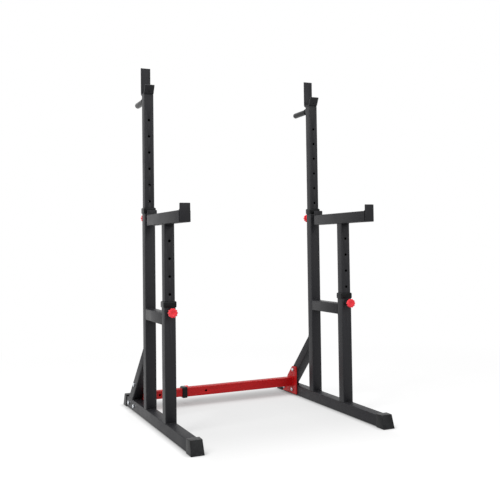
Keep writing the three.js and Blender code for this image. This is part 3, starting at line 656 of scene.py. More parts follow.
# %% Guide collars
COLLAR_CROWN = 6 * MM
COLLAR_LID = 5 * MM
CROSSBAR_LID = 6 * MM
COLLAR_CORNER = 7 * MM
FOOT_TUCK = 1 * MM
FOOT_TAPER = 3 * MM
LIP_CHAMFER = 1 * MM
SEAT_GAP = 0.3 * MM
CROWN_STEPS = 5


def collar_profile(outer, seat, bore, height, lid, crown):
    """Half widths and heights of a collar whose lid's underside is at z = 0."""
    foot = lid - height
    profile = [(outer - FOOT_TUCK, foot), (outer, foot + FOOT_TAPER)]
    for step in range(CROWN_STEPS + 1):
        angle = math.radians(90) * step / CROWN_STEPS
        profile.append((outer - crown * (1 - math.cos(angle)), lid - crown * (1 - math.sin(angle))))
    profile += [(bore + LIP_CHAMFER, lid), (bore, lid - LIP_CHAMFER), (bore, SEAT_GAP), (seat, SEAT_GAP),
                (seat, foot)]
    return profile


def guide_collar(width, height, lid, seat_width, bore_width, place):
    """A collar for a sleeve of one width and a post of another, moved and turned by a matrix."""
    profile = collar_profile(width / 2, seat_width / 2 + SEAT_GAP, bore_width / 2 + SEAT_GAP, height, lid,
                             COLLAR_CROWN)
    collar = stacked_rings(square_ring(*profile[0], COLLAR_CORNER), profile)
    collar.data.transform(place)
    return smoothed(collar)


post_low, post_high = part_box("left_rear_post")
post_width = post_high.x - post_low.x
for which in ("rear", "front"):
    low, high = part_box(f"left_{which}_collar")
    mouth = Vector(((low.x + high.x) / 2, (low.y + high.y) / 2, high.z - COLLAR_LID))
    collar = guide_collar(high.x - low.x, high.z - low.z, COLLAR_LID, FRAME_TUBE, post_width,
                          Matrix.Translation(mouth))
    dress_both(collar, f"{which}_guide_collar", "frame", "black_plastic", f"{which}_collar")
    print("the", which, "collar is", round((high.z - low.z) / MM), "mm high, its skirt",
          round((high.x - low.x - FRAME_TUBE) / 2 / MM - SEAT_GAP / MM, 1), "mm thick")

# %% [markdown]
# ## Bar rests
# Each rest is one flat strip, bent hot: a tall back, a floor on the post, and a short lip that leans
# forward. It could be a bevelled curve, but a bent strip keeps its width and thickness better when it is
# extruded. Its end is a plane, which is extruded down, spun round the first bend, extruded along the
# floor, spun round the second bend and extruded up the lip, which has a hole near its foot.

# %% Bar rests
STRIP = 6 * MM
BEND_RADIUS = 14 * MM
BEND_STEPS = 10
LIP_HEIGHT = 44 * MM
LIP_SHIFT = 24 * MM
REST_HOLE = 9 * MM
REST_HOLE_MARGIN = 1 * MM
STRIP_EDGE = 0.8 * MM


def extrude_by(step):
    """Extrudes the selected face and moves it."""
    bpy.ops.mesh.extrude_region_move(TRANSFORM_OT_translate={"value": step})


def spin_by(angle, centre):
    """Bends the strip on: spins the selected face round a line along x."""
    bpy.ops.mesh.spin(steps=BEND_STEPS, angle=angle, center=centre, axis=(1, 0, 0))


def bar_rest(node):
    """The bent strip in the box of a cradle's node, and the middle of the hole in its lip."""
    low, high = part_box(node)
    back = high.y - STRIP / 2
    lean = math.atan2(LIP_SHIFT, LIP_HEIGHT)
    turn = math.radians(90) - lean
    first_centre = Vector((0, back - BEND_RADIUS, low.z + STRIP / 2 + BEND_RADIUS))
    floor_height = low.z + STRIP / 2
    lip_top = Vector((0, low.y + STRIP / 2 * math.cos(lean),
                      low.z + LIP_HEIGHT - STRIP / 2 * math.sin(lean)))
    lip_foot_y = lip_top.y + (lip_top.z - floor_height) * math.tan(lean)
    tangent = BEND_RADIUS * math.tan(turn / 2)
    second_centre = Vector((0, lip_foot_y + tangent, floor_height + BEND_RADIUS))
    bpy.ops.mesh.primitive_plane_add(size=1, location=((low.x + high.x) / 2, back, high.z))
    strip = bpy.context.object
    only(strip)
    strip.scale = (high.x - low.x, STRIP, 1)
    bpy.ops.object.transform_apply(location=True, rotation=True, scale=True)
    pick(strip, "FACE", lambda face: True)
    extrude_by((0, 0, first_centre.z - high.z))
    spin_by(math.radians(90), first_centre)
    extrude_by((0, second_centre.y - first_centre.y, 0))
    spin_by(turn, second_centre)
    lip_start = second_centre + BEND_RADIUS * Vector((0, -math.sin(turn), -math.cos(turn)))
    extrude_by(lip_top - lip_start)
    to_object_mode()
    hole_height = low.z + STRIP + REST_HOLE_MARGIN + REST_HOLE / 2
    hole_depth = lip_top.y + (lip_top.z - hole_height) * math.tan(lean)
    return recalculated(strip), Vector(((low.x + high.x) / 2, hole_depth, hole_height))


rest, hole = bar_rest("left_bar_cradle")
cut(rest, rod(hole, 1, REST_HOLE, LIP_HEIGHT, SMALL_ROD_SIDES))
dress_both(softened(rest, STRIP_EDGE), "bar_rest", "cradle_post", "black_powder_coat", "bar_cradle")
print("a rest's lip leans", round(math.degrees(math.atan2(LIP_SHIFT, LIP_HEIGHT))), "degrees")

# %% [markdown]
# ## Turned shapes
# A lathe makes a shape from half of its outline, and so does the spin operator: a line of corners is spun
# once round the axis. Cylinders could be stacked instead, but they would leave hidden faces inside. The
# first and last corner may lie on the axis: the spin doubles them, and a merge closes the poles.

# %% Turned shapes
TURN_STEPS = 64
ARC_STEPS = 6


def quarter(centre, radius, first, last):
    """Points of an arc in a turned outline, from one angle to another in degrees."""
    angles = [math.radians(first + (last - first) * step / ARC_STEPS) for step in range(ARC_STEPS + 1)]
    return [(centre[0] + radius * math.cos(angle), centre[1] + radius * math.sin(angle)) for angle in angles]


def turned(outline, steps=TURN_STEPS):
    """Spins an outline of (radius, height) once round z and closes its poles."""
    bpy.ops.mesh.primitive_plane_add(size=1, location=(0, 0, 0))
    made = bpy.context.object
    only(made)
    bpy.ops.object.mode_set(mode="EDIT")
    bpy.ops.mesh.delete(type="VERT")
    live = bmesh.from_edit_mesh(made.data)
    corners = [live.verts.new((radius, 0, height)) for radius, height in outline]
    for first, second in zip(corners, corners[1:]):
        live.edges.new((first, second))
    bmesh.update_edit_mesh(made.data)
    bpy.ops.mesh.select_all(action="SELECT")
    bpy.ops.mesh.spin(steps=steps, angle=math.radians(360), center=(0, 0, 0), axis=(0, 0, 1))
    to_object_mode()
    return recalculated(made)


print("a turned shape has", TURN_STEPS, "steps, of", round(360 / TURN_STEPS, 1), "degrees each")

# %% [markdown]
# ## Plate pegs
# A peg is a black plastic sleeve on a steel stub, with a raised ring near the post and a blunt rounded
# end. It is turned, since all of that lies in one outline: up the sleeve, round the ring, and round the
# end to the axis.

# %% Plate pegs
PEG_DIAMETER = 28 * MM
PEG_RING_PLACE = 33 * MM
PEG_RING_WIDTH = 6 * MM
PEG_RING_PROUD = 2.5 * MM
PEG_RING_ROUND = 0.6 * PEG_RING_PROUD
PEG_END_ROUND = 5 * MM

low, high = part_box("left_storage_peg")
length = high.y - low.y
radius = PEG_DIAMETER / 2
ring = radius + PEG_RING_PROUD
ring_end = PEG_RING_PLACE + PEG_RING_WIDTH
outline = [(0, 0), (radius, 0), (radius, PEG_RING_PLACE)]
outline += quarter((ring - PEG_RING_ROUND, PEG_RING_PLACE + PEG_RING_ROUND), PEG_RING_ROUND, -90, 0)
outline += quarter((ring - PEG_RING_ROUND, ring_end - PEG_RING_ROUND), PEG_RING_ROUND, 0, 90)
outline += [(radius, ring_end)]
outline += quarter((radius - PEG_END_ROUND, length - PEG_END_ROUND), PEG_END_ROUND, 0, 90)
outline += [(0, length)]
peg = turned(outline)
peg.data.transform(Matrix.Translation(((low.x + high.x) / 2, low.y, (low.z + high.z) / 2))
                   @ Matrix.Rotation(math.radians(-90), 4, "X"))
dress_both(smoothed(peg), "plate_peg", "cradle_post", "black_plastic", "storage_peg")
print("a peg is", round(length / MM), "mm long")

# %% [markdown]
# ## Painted shade in the bar rests' holes
# The hole in a rest's lip is dark inside with shade, and a small black plug with a dished face is put in it
# as painted shade, so it looks dark and never shows what is behind it. A black disc would do from afar, but
# the dish catches a ring of light. The plug is turned, as the peg is.

# %% Painted shade plugs in the bar rests
SHADE_PLUG_LENGTH = 4 * MM
SHADE_PLUG_DISH = 1 * MM
SHADE_PLUG_EDGE = 0.2 * MM
radius = REST_HOLE / 2
shade_plug = turned([(0, SHADE_PLUG_DISH), (radius - SHADE_PLUG_DISH, 0), (radius, SHADE_PLUG_DISH / 2), (radius, SHADE_PLUG_LENGTH),
               (0, SHADE_PLUG_LENGTH)], SMALL_ROD_SIDES)
shade_plug.data.transform(Matrix.Translation(hole - Vector((0, SHADE_PLUG_LENGTH / 2, 0)))
                    @ Matrix.Rotation(math.radians(-90), 4, "X"))
# a black plug as the painted shade inside the rest's hole
dress_both(softened(shade_plug, SHADE_PLUG_EDGE), "rest_hole_shade_plug", "cradle_post", "black_plastic")
print("a plug is", round(2 * radius / MM), "mm wide with", len(shade_plug.data.polygons), "faces")

# %% [markdown]
# ## Dip arms and their end plates
# An arm is a length of 50 mm tube on top of the short post. A plate is welded over each of its ends and
# stands up past it, so that a bar or a hand can't slide off. The arm is made as the rails are. A plate is
# flame cut from thick sheet: a block with rounded corners, which needs no outline of its own.

# %% Dip arms and their end plates
PLATE_CORNER = 3 * MM
PLATE_EDGE = 0.8 * MM
low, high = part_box("left_dip_arm")
dress_both(softened(square_tube(low, high, 1, FRAME_CORNER, FRAME_WALL), PAINT_EDGE),
           "arm_rail", "arm_post", "black_powder_coat", "dip_arm")
print("an arm is", round((high.y - low.y) / MM), "mm long")
for node, name in (("arm_front_plate", "arm_stop"), ("arm_rear_plate", "arm_heel")):
    low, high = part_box("left_" + node)
    dress_both(softened(rounded_bar(low, high, 1, PLATE_CORNER), PLATE_EDGE), name, "arm_post",
               "black_powder_coat", node)
    print("its", name, "is", round((high.z - low.z) / MM), "mm high")

# %% [markdown]
# ## Rubber feet
# A foot is a moulded rubber shoe pushed over the end of the base rail. Its nose leans back and narrows
# towards the top, all its edges are round, and its mouth is hollow. A cube is shaped by moving its top
# front corners, and its edges are bevelled. The mouth could be inset and pushed in, but then the bevel
# would round its edges as well, so a block the size of the rail is cut out last.

# %% Rubber feet
SHOE_SLOPE = 19 * MM
SHOE_NARROWING = 2.5 * MM
SHOE_GRIP = 40 * MM
SHOE_EDGE = 2 * MM


def shoe(node, side):
    """A shoe whose nose points along y, to -1 or 1."""
    low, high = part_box(node)
    made = block(low, high)
    nose = high.y if side > 0 else low.y
    mouth = low.y if side > 0 else high.y
    centre = (low + high) / 2
    pick(made, "VERT", lambda corner: abs(corner.co.y - nose) < MERGE and corner.co.z > centre.z)
    bpy.ops.transform.translate(value=(0, -side * SHOE_SLOPE, 0))
    half = (high.x - low.x) / 2
    narrowed = (half - SHOE_NARROWING) / half
    bpy.ops.transform.resize(value=(narrowed, 1, 1), center_override=centre)
    to_object_mode()
    softened(made, SHOE_EDGE, ROUND_STEPS)
    rail_low, rail_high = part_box("left_foot_tube")
    gap = Vector((SEAT_GAP, 0, SEAT_GAP))
    tool_low = rail_low - gap
    tool_high = rail_high + gap
    inner = mouth + side * SHOE_GRIP
    tool_low.y, tool_high.y = sorted((mouth - side * OVERRUN, inner))
    cut(made, block(tool_low, tool_high))
    return smoothed(made)


for which, side in (("front", -1), ("rear", 1)):
    foot = shoe(f"left_{which}_foot_cap", side)
    dress_both(foot, f"{which}_rubber_foot", "frame", "black_rubber", f"{which}_foot_cap")
    print("the", which, "foot has", len(foot.data.polygons), "faces")

# %% [markdown]
# ## Knobs
# A star knob has a rim of ten lobes for the fingers, a hub towards the tube, a bore for its pin and a
# shallow dish in its face. Its head is a short cylinder with six rows of corners to a lobe. One row in six
# is a valley and is drawn in, its neighbours half as far, and the rim is bevelled. The hub is united with
# the head, bore and dish are cut, and a fine bevel softens what is still sharp. A subdivision surface
# would be rounder, but it would need ten times the faces to keep the flat face.

# %% Knob master
KNOB_DIAMETER = 41 * MM
KNOB_HEAD = 16 * MM
KNOB_LOBES = 10
KNOB_ROWS = 6
KNOB_VALLEY = 0.86
KNOB_FLANK = 0.93
KNOB_RIM = 2.5 * MM
KNOB_HUB_DIAMETER = 27 * MM
KNOB_HUB = 6 * MM
KNOB_BORE_DEPTH = 13 * MM
KNOB_DISH_DIAMETER = 19 * MM
KNOB_DISH_DEPTH = 0.8 * MM
KNOB_FINE_EDGE = 0.3 * MM
KNOB_SHARP = 50


def row_of(corner):
    """Which of a lobe's rows of corners this one is in: 0 is the crest and 3 the valley."""
    turn = math.atan2(corner.co.y, corner.co.x) / math.radians(360)
    return round(turn * KNOB_LOBES * KNOB_ROWS) % KNOB_ROWS


def rim_edge(edge):
    """Whether an edge is one of the head's two sharp rims."""
    flat = [abs(face.normal.z) > LONG for face in edge.link_faces]
    return len(flat) == 2 and flat[0] != flat[1]


def unite(piece, tool):
    """Joins a closed tool shape to a piece and deletes the tool."""
    apply_modifier(piece, "BOOLEAN", operation="UNION", object=tool, solver="EXACT")
    bpy.data.objects.remove(tool)


def knob_master():
    """A knob on the z axis, with its hub's end at z = 0 and its face at the top."""
    head = rod(Vector((0, 0, KNOB_HUB + KNOB_HEAD / 2)), 2, KNOB_DIAMETER, KNOB_HEAD,
               KNOB_LOBES * KNOB_ROWS)
    for rows, share in (((3,), KNOB_VALLEY), ((2, 4), KNOB_FLANK)):
        pick(head, "VERT", lambda corner: row_of(corner) in rows)
        bpy.ops.transform.resize(value=(share, share, 1), center_override=(0, 0, 0))
        to_object_mode()
    pick(head, "EDGE", rim_edge)
    bpy.ops.mesh.bevel(offset=KNOB_RIM, segments=ROUND_STEPS, affect="EDGES")
    to_object_mode()
    unite(head, rod(Vector((0, 0, KNOB_HUB)), 2, KNOB_HUB_DIAMETER, 2 * KNOB_HUB))
    cut(head, rod(Vector((0, 0, 0)), 2, PIN_DIAMETER + BORE_CLEARANCE, 2 * KNOB_BORE_DEPTH))
    cut(head, rod(Vector((0, 0, KNOB_HUB + KNOB_HEAD)), 2, KNOB_DISH_DIAMETER, 2 * KNOB_DISH_DEPTH))
    return softened(head, KNOB_FINE_EDGE, 2, KNOB_SHARP)


knob = knob_master()
print("one knob has", len(knob.data.polygons), "faces")

# %% [markdown]
# ## Knobs and pins in place
# Each knob is screwed on a round pin, and both slide in and out together as one lock. The knob is copied
# to the five places that the nodes give. Its axis is z, so it is turned to point to the rear or to the
# front. Each pin is a rod with rounded ends, which find their hole more easily than sharp ones.

# %% Knobs and pins in place
PIN_END_ROUND = 1 * MM
OUTWARD = {"rear": Matrix.Rotation(math.radians(-90), 4, "X"),
           "front": Matrix.Rotation(math.radians(90), 4, "X")}


def hub_end(node, side):
    """The middle of a knob's hub end, on the side that faces the tube."""
    low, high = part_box(node)
    return Vector(((low.x + high.x) / 2, low.y if side > 0 else high.y, (low.z + high.z) / 2))


def pin_shank(node):
    """A pin with rounded ends, in the box of a pin's node."""
    low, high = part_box(node)
    return softened(rod((low + high) / 2, 1, high.x - low.x, high.y - low.y), PIN_END_ROUND)


for which, side in (("rear", 1), ("front", -1)):
    place = Matrix.Translation(hub_end(f"left_{which}_knob", side)) @ OUTWARD[which]
    dress_both(duplicate(knob, place), f"{which}_star_knob", f"{which}_lock", "red_plastic", f"{which}_knob")
    dress_both(pin_shank(f"left_{which}_pin"), f"{which}_locking_pin", f"{which}_lock", "zinc_plate",
               f"{which}_pin")
place = Matrix.Translation(hub_end("crossbar_knob", 1)) @ OUTWARD["rear"]
dress(duplicate(knob, place), "crossbar_star_knob", "crossbar_lock", "red_plastic", "crossbar_knob")
dress(pin_shank("crossbar_pin"), "crossbar_locking_pin", "crossbar_lock", "zinc_plate", "crossbar_pin")
bpy.data.objects.remove(knob)
low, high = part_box("crossbar_pin")
print("five knobs stand on pins", round((high.y - low.y) / MM), "mm long and", round((high.x - low.x) / MM),
      "mm thick")

# %% [markdown]
# ## Gusset plates
# A red plate is laser cut from 5 mm sheet and bolted to the inner side of the base rail and the stay. Its
# outline could be drawn point by point, but it follows the stay: a block the size of the sheet is bisected
# along the stay's line and across the lower ear, its corners are rounded, and the bolt holes are cut.

# %% Gusset plates
GUSSET_SHOULDER = 98 * MM
GUSSET_CORNER = 4 * MM
GUSSET_EDGE = 0.6 * MM
BOLT_HOLE = 11 * MM
BOLTS = ("front_foot", "rear_foot", "brace")

stay_low, stay_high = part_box("left_brace")
low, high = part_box("left_gusset_plate")
plate = block(low, high)
stay_toe = Vector((0, stay_high.y, stay_low.z))
stay_line = Vector((0, stay_low.y - stay_high.y, stay_high.z - stay_low.z)).normalized()
shoulder = stay_toe + stay_line * ((GUSSET_SHOULDER - stay_toe.z) / stay_line.z)
ear = Vector((0, high.y, low.z))
for point, line in ((shoulder, stay_line), (ear, shoulder - ear)):
    pick(plate, "FACE", lambda face: True)
    bpy.ops.mesh.bisect(plane_co=point, plane_no=(0, line.z, -line.y), use_fill=True, clear_outer=True)
    to_object_mode()
recalculated(plate)
pick(plate, "EDGE", lambda edge: runs_along(edge, 0))
bpy.ops.mesh.bevel(offset=GUSSET_CORNER, segments=ROUND_STEPS, affect="EDGES")
to_object_mode()
for name in BOLTS:
    bolt_low, bolt_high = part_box(f"left_{name}_bolt")
    cut(plate, rod((bolt_low + bolt_high) / 2, 0, BOLT_HOLE, bolt_high.x - bolt_low.x))
softened(plate, GUSSET_EDGE)
twin = duplicate(plate, Matrix.Translation(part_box("right_gusset_plate")[0] - low))
dress(plate, "left_gusset", "left_frame", "red_powder_coat", "left_gusset_plate")
dress(twin, "right_gusset", "right_frame", "red_powder_coat", "right_gusset_plate")
print("a gusset plate is", round((high.y - low.y) / MM), "mm long and", round((high.x - low.x) / MM),
      "mm thick")

# %% [markdown]
# ## Forged hexagons
# Screw heads and nuts are cold forged hexagons whose corners are turned off at 30 degrees, which leaves a
# curved edge on each flat. A bevel would leave straight edges, so a six-sided cylinder is intersected
# with a turned cone. HEX_FACE is the share of the width that stays flat on top. The width over the
# corners is that over the flats, divided by the cosine of half the angle that one side spans.

# %% Hexagons
HEX_SIDES = 6
HEX_FLATS = 17 * MM
HEX_CORNERS = HEX_FLATS / math.cos(math.radians(180 / HEX_SIDES))
HEX_FACE = 0.95
HEX_SLOPE = math.radians(30)
HEX_EDGE = 0.25 * MM


def hexagon_bar(height):
    """A six-sided bar on the z axis, standing on z = 0."""
    return rod(Vector((0, 0, height / 2)), 2, HEX_CORNERS, height, HEX_SIDES)


def turned_off(bar, height, ends):
    """Takes the corners off a hexagon bar's upper end, or off both ends."""
    corner = HEX_CORNERS / 2 + OVERRUN
    face = HEX_FLATS / 2 * HEX_FACE
    drop = (corner - face) * math.tan(HEX_SLOPE)
    outline = [(0, 0), (face, 0), (corner, drop)] if ends == 2 else [(0, -OVERRUN), (corner, -OVERRUN)]
    outline += [(corner, height - drop), (face, height), (0, height)]
    cone = turned(outline)
    apply_modifier(bar, "BOOLEAN", operation="INTERSECT", object=cone, solver="EXACT")
    bpy.data.objects.remove(cone)
    return bar


print("a hexagon is", round(HEX_FLATS / MM), "mm across its flats")

# %% [markdown]
# ## Screws and nuts
# A screw's shank is turned, and its threaded end is a zigzag outline, which gives rings in place of a
# spiral: at this size nobody sees the difference, and a spiral would take far more faces. Head and shank
# are united, and a nut is bored.

# %% Screws and nuts
HEAD_HEIGHT = 6.4 * MM
NUT_HEIGHT = 8 * MM
SHANK = 10 * MM
THREAD_PITCH = 1.5 * MM
THREAD_DEPTH = 0.9 * MM
THREADED = 9 * MM


def screw_shank(length):
    """A shank that hangs down from z = 0, with ridges at its end."""
    radius = SHANK / 2
    outline = [(0, HEAD_HEIGHT / 2), (radius, HEAD_HEIGHT / 2), (radius, -length + THREADED)]
    for number in range(round(THREADED / THREAD_PITCH)):
        top = -length + THREADED - number * THREAD_PITCH
        outline += [(radius - THREAD_DEPTH, top - THREAD_PITCH / 2), (radius, top - THREAD_PITCH)]
    outline[-1] = (radius - THREAD_DEPTH, -length)
    return turned(outline + [(0, -length)], SMALL_ROD_SIDES)


def hex_screw(length):
    """A screw whose head sits on z = 0 and whose shank points down."""
    head = turned_off(hexagon_bar(HEAD_HEIGHT), HEAD_HEIGHT, 1)
    unite(head, screw_shank(length))
    return softened(head, HEX_EDGE)


def hex_nut():
    """A nut that stands on z = 0."""
    body = turned_off(hexagon_bar(NUT_HEIGHT), NUT_HEIGHT, 2)
    cut(body, rod(Vector((0, 0, NUT_HEIGHT / 2)), 2, SHANK + BORE_CLEARANCE, 2 * NUT_HEIGHT))
    return softened(recalculated(body), HEX_EDGE)


low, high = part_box("left_brace_bolt")
screw = hex_screw(high.x - low.x - HEAD_HEIGHT)
nut = hex_nut()
print("one screw has", len(screw.data.polygons), "faces, one nut", len(nut.data.polygons))

# %% [markdown]
# ## Screws and nuts in place
# Three screws clamp each gusset plate to its frame. The heads sit on the outer side and the nuts on the
# plate, so the right frame's are turned round rather than shifted across. A mirrored copy would turn the
# mesh inside out, and a turned one doesn't.

# %% Screws and nuts in place
for side, inward in (("left", 1), ("right", -1)):
    for name in BOLTS:
        low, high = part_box(f"{side}_{name}_bolt")
        seat = Vector((low.x + HEAD_HEIGHT if inward > 0 else high.x - HEAD_HEIGHT,
                       (low.y + high.y) / 2, (low.z + high.z) / 2))
        place = Matrix.Translation(seat) @ Matrix.Rotation(math.radians(-90 * inward), 4, "Y")
        dress(duplicate(screw, place), f"{side}_{name}_screw", side + "_frame", "zinc_plate",
              f"{side}_{name}_bolt")
        low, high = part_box(f"{side}_{name}_nut")
        seat.x = low.x if inward > 0 else high.x
        place = Matrix.Translation(seat) @ Matrix.Rotation(math.radians(90 * inward), 4, "Y")
        dress(duplicate(nut, place), f"{side}_{name}_hex_nut", side + "_frame", "zinc_plate",
              f"{side}_{name}_nut")
bpy.data.objects.remove(screw)
bpy.data.objects.remove(nut)
print(2 * len(BOLTS), "screws and as many nuts are in place")

# %% [markdown]
# ## Telescopic crossbar
# The red bar is a tube that slides over a smaller tube. The large one has a spare hole in front and a
# boss for its pin on the rear. The small one has a row of pin holes. Both are rolled tubes as before, so
# the same functions make them, along x.

# %% The crossbar's large tube and its boss
CROSSBAR_WALL = 2 * MM
CROSSBAR_CORNER = 3.5 * MM
CROSSBAR_SPACING = 80 * MM

pin_low, pin_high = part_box("crossbar_pin")
pin_place = (pin_low + pin_high) / 2
low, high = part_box("crossbar_outer_tube")
bar_width = high.z - low.z
rear_face = low.y + bar_width
outer = square_tube(low, Vector((high.x, rear_face, high.z)), 0, CROSSBAR_CORNER, CROSSBAR_WALL)
mouth = Vector((pin_place.x, rear_face, pin_place.z))
cut(outer, rod(mouth, 1, PIN_DIAMETER + BORE_CLEARANCE, 2 * OVERRUN))
spare = Vector((pin_place.x + CROSSBAR_SPACING, low.y, pin_place.z))
cut(outer, rod(spare, 1, PIN_HOLE, 2 * OVERRUN))
dress(softened(outer, PAINT_EDGE), "crossbar_large_tube", "right_frame", "red_powder_coat",
      "crossbar_outer_tube")
print("the large tube is", round(bar_width / MM), "mm wide and", round((high.x - low.x) / MM), "mm long")

boss_length = high.y - rear_face + CROSSBAR_WALL / 2
boss_centre = Vector((pin_place.x, high.y - boss_length / 2, pin_place.z))
boss = rod(boss_centre, 1, BOSS_DIAMETER, boss_length)
cut(boss, rod(boss_centre, 1, PIN_DIAMETER + BORE_CLEARANCE, 2 * boss_length))
dress(softened(boss, BOSS_EDGE, BOSS_STEPS), "crossbar_pin_boss", "right_frame", "red_powder_coat")

# %% [markdown]
# ## The crossbar's small tube
# It slides in the large tube and sets how far apart the frames stand. Its five holes go through the front
# and rear walls, 80 mm apart, and the pin is in the third at rest. They are cut with one tool, as on the
# posts.

# %% The crossbar's small tube
CROSSBAR_HOLES = 5
CROSSBAR_PINNED = 2
low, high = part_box("crossbar_inner_tube")
inner = square_tube(low, high, 0, CROSSBAR_CORNER, CROSSBAR_WALL)
steps = [pin_place.x + (number - CROSSBAR_PINNED) * CROSSBAR_SPACING for number in range(CROSSBAR_HOLES)]
cut(inner, joined([rod(Vector((x, (low.y + high.y) / 2, pin_place.z)), 1, PIN_HOLE, 2 * (high.y - low.y))
                   for x in steps]))
dress(softened(inner, PAINT_EDGE), "crossbar_small_tube", "left_frame", "red_powder_coat",
      "crossbar_inner_tube")

small_width = high.y - low.y
print("the small tube is", round(small_width / MM), "mm wide with", CROSSBAR_HOLES, "holes")

# %% [markdown]
# ## The crossbar's collar
# The large tube's mouth has the same moulded collar as the sleeves, for a 45 mm tube. The collar function
# builds round z, so its matrix also turns it on its side.

# %% The crossbar's collar
low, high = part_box("crossbar_collar")
mouth = Vector((low.x + CROSSBAR_LID, (low.y + high.y) / 2, (low.z + high.z) / 2))
place = Matrix.Translation(mouth) @ Matrix.Rotation(math.radians(-90), 4, "Y")
collar = guide_collar(high.y - low.y, high.x - low.x, CROSSBAR_LID, bar_width, small_width, place)
dress(collar, "crossbar_guide_collar", "right_frame", "black_plastic", "crossbar_collar")
print("its collar is", round((high.x - low.x) / MM), "mm long")

# %% [markdown]
# ## Weld beads
# The tubes are joined by arc welds. The arc leaves a row of small pools that freeze over each other like
# scales, and the powder coat goes over them. A bump map could fake that, but a bead stands out in a close
# view, so one bead is turned from a zigzag outline, as the screws' threads are. It is copied into each
# corner where two pieces meet, and the beads that ride on one body are joined to one piece.

# %% Weld beads
BEAD_RADIUS = 2.6 * MM
BEAD_STEP = 0.5 * MM
BEAD_POOL = 2.3 * MM
BEAD_POOLS = 20
BEAD_CREST = 0.7
BEAD_SIDES = 12
BEAD_INSET = 1.5 * MM


def bead_master():
    """A bead on the z axis that starts at z = 0."""
    outline = [(0, 0)]
    for number in range(BEAD_POOLS):
        outline += [(BEAD_RADIUS - BEAD_STEP, number * BEAD_POOL),
                    (BEAD_RADIUS, (number + BEAD_CREST) * BEAD_POOL)]
    return turned(outline + [(0, BEAD_POOLS * BEAD_POOL)], BEAD_SIDES)


def weld(seams):
    """Lays a bead along each seam, given by its two ends, and joins them to one piece."""
    beads = []
    for start, end in seams:
        way = end - start
        turn = way.to_track_quat("Z", "Y").to_matrix().to_4x4()
        stretch = Matrix.Scale(way.length / (BEAD_POOLS * BEAD_POOL), 4, (0, 0, 1))
        beads.append(duplicate(bead, Matrix.Translation(start) @ turn @ stretch))
    return smoothed(joined(beads), 2 * SMOOTH_BELOW)


def across_tube(node, places):
    """Seams along x over a node's width, each through a place (y, z)."""
    low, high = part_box(node)
    return [(Vector((low.x + BEAD_INSET, y, z)), Vector((high.x - BEAD_INSET, y, z))) for y, z in places]


bead = bead_master()
print("one bead has", len(bead.data.polygons), "faces")

# %% [markdown]
# ## Welds on the side frames
# The uprights stand on the base rail, the tie rail runs between them, and the stay leans from one to the
# other. A bead lies in each corner across the tubes. Its axis is a little clear of the two faces, or three
# times as far where they meet steeply, so about half of it shows. The places come from the nodes' boxes,
# so they follow the tubes, which a list of measured points wouldn't.

# %% Welds on the side frames
CLEAR = 0.8 * MM
STEEP = 3 * CLEAR
rail_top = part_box("left_foot_tube")[1].z
tie_low, tie_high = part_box("left_tie_tube")
stay_low, stay_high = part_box("left_brace")
stay_run = stay_high.y - stay_low.y
stay_rise = stay_high.z - stay_low.z
stay_length = math.hypot(stay_run, stay_rise)
heel = stay_high.y - FRAME_TUBE * stay_length / stay_rise
throat = stay_high.z - FRAME_TUBE * stay_length / stay_run
rear_wall = stay_low.y
places = [(rear_wall + CLEAR, rail_top + CLEAR), (tie_high.y - CLEAR, rail_top + CLEAR),
          (tie_low.y + CLEAR, rail_top + CLEAR), (tie_low.y - FRAME_TUBE - CLEAR, rail_top + CLEAR),
          (tie_low.y + CLEAR, tie_high.z + CLEAR), (tie_low.y + CLEAR, tie_low.z - CLEAR),
          (tie_high.y - CLEAR, tie_high.z + CLEAR), (tie_high.y - CLEAR, tie_low.z - CLEAR),
          (stay_high.y + CLEAR / 2, rail_top + CLEAR), (heel - STEEP, rail_top + CLEAR),
          (rear_wall + CLEAR, stay_high.z + CLEAR / 2), (rear_wall + CLEAR, throat - STEEP)]
dress_both(weld(across_tube("left_foot_tube", places)), "frame_welds", "frame", "black_powder_coat")
print(len(places), "beads on each side frame")

# %% [markdown]
# ## Welds on the posts
# Each arm is welded to its post and to its two plates, and each bar rest to the top of its post. These
# beads ride on the sliding bodies, so they are pieces of their own.

# %% Welds on the posts
post_low, post_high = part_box("left_front_post")
arm_low, arm_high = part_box("left_dip_arm")
seams = across_tube("left_front_post", [(post_low.y - CLEAR, post_high.z - CLEAR),
                                        (post_high.y + CLEAR, post_high.z - CLEAR)])
seams += across_tube("left_dip_arm", [(arm_low.y + CLEAR, arm_high.z + CLEAR),
                                      (arm_high.y - CLEAR, arm_high.z + CLEAR)])
dress_both(weld(seams), "arm_welds", "arm_post", "black_powder_coat")
print(len(seams), "beads on each arm")
post_low, post_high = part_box("left_rear_post")
seams = across_tube("left_rear_post", [(post_low.y + CLEAR, post_high.z + 2 * CLEAR),
                                       (post_high.y + CLEAR, post_high.z)])
dress_both(weld(seams), "rest_welds", "cradle_post", "black_powder_coat")
print(len(seams), "beads on each bar rest")

# %% [markdown]
# ## Welds on the crossbar
# Each of the bar's tubes is welded all round to its gusset plate. Four straight beads meet at the corners,
# which is how it is welded by hand as well.

# %% Welds on the crossbar


def round_the_end(low, high, x):
    """Four seams round a tube's end, which is at a given x."""
    front, rear, bottom, top = low.y - CLEAR, high.y + CLEAR, low.z - CLEAR, high.z + CLEAR
    corners = [Vector((x, y, z)) for y, z in ((front, bottom), (rear, bottom), (rear, top), (front, top))]
    return list(zip(corners, corners[1:] + corners[:1]))


low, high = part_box("crossbar_outer_tube")
end = Vector((high.x, low.y + bar_width, high.z))
seams = round_the_end(low, end, high.x - CLEAR)
dress(weld(seams), "crossbar_large_tube_weld", "right_frame", "red_powder_coat")
low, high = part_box("crossbar_inner_tube")
dress(weld(round_the_end(low, high, low.x + CLEAR)), "crossbar_small_tube_weld", "left_frame",
      "red_powder_coat")
bpy.data.objects.remove(bead)
print(2 * len(seams), "beads on the crossbar")

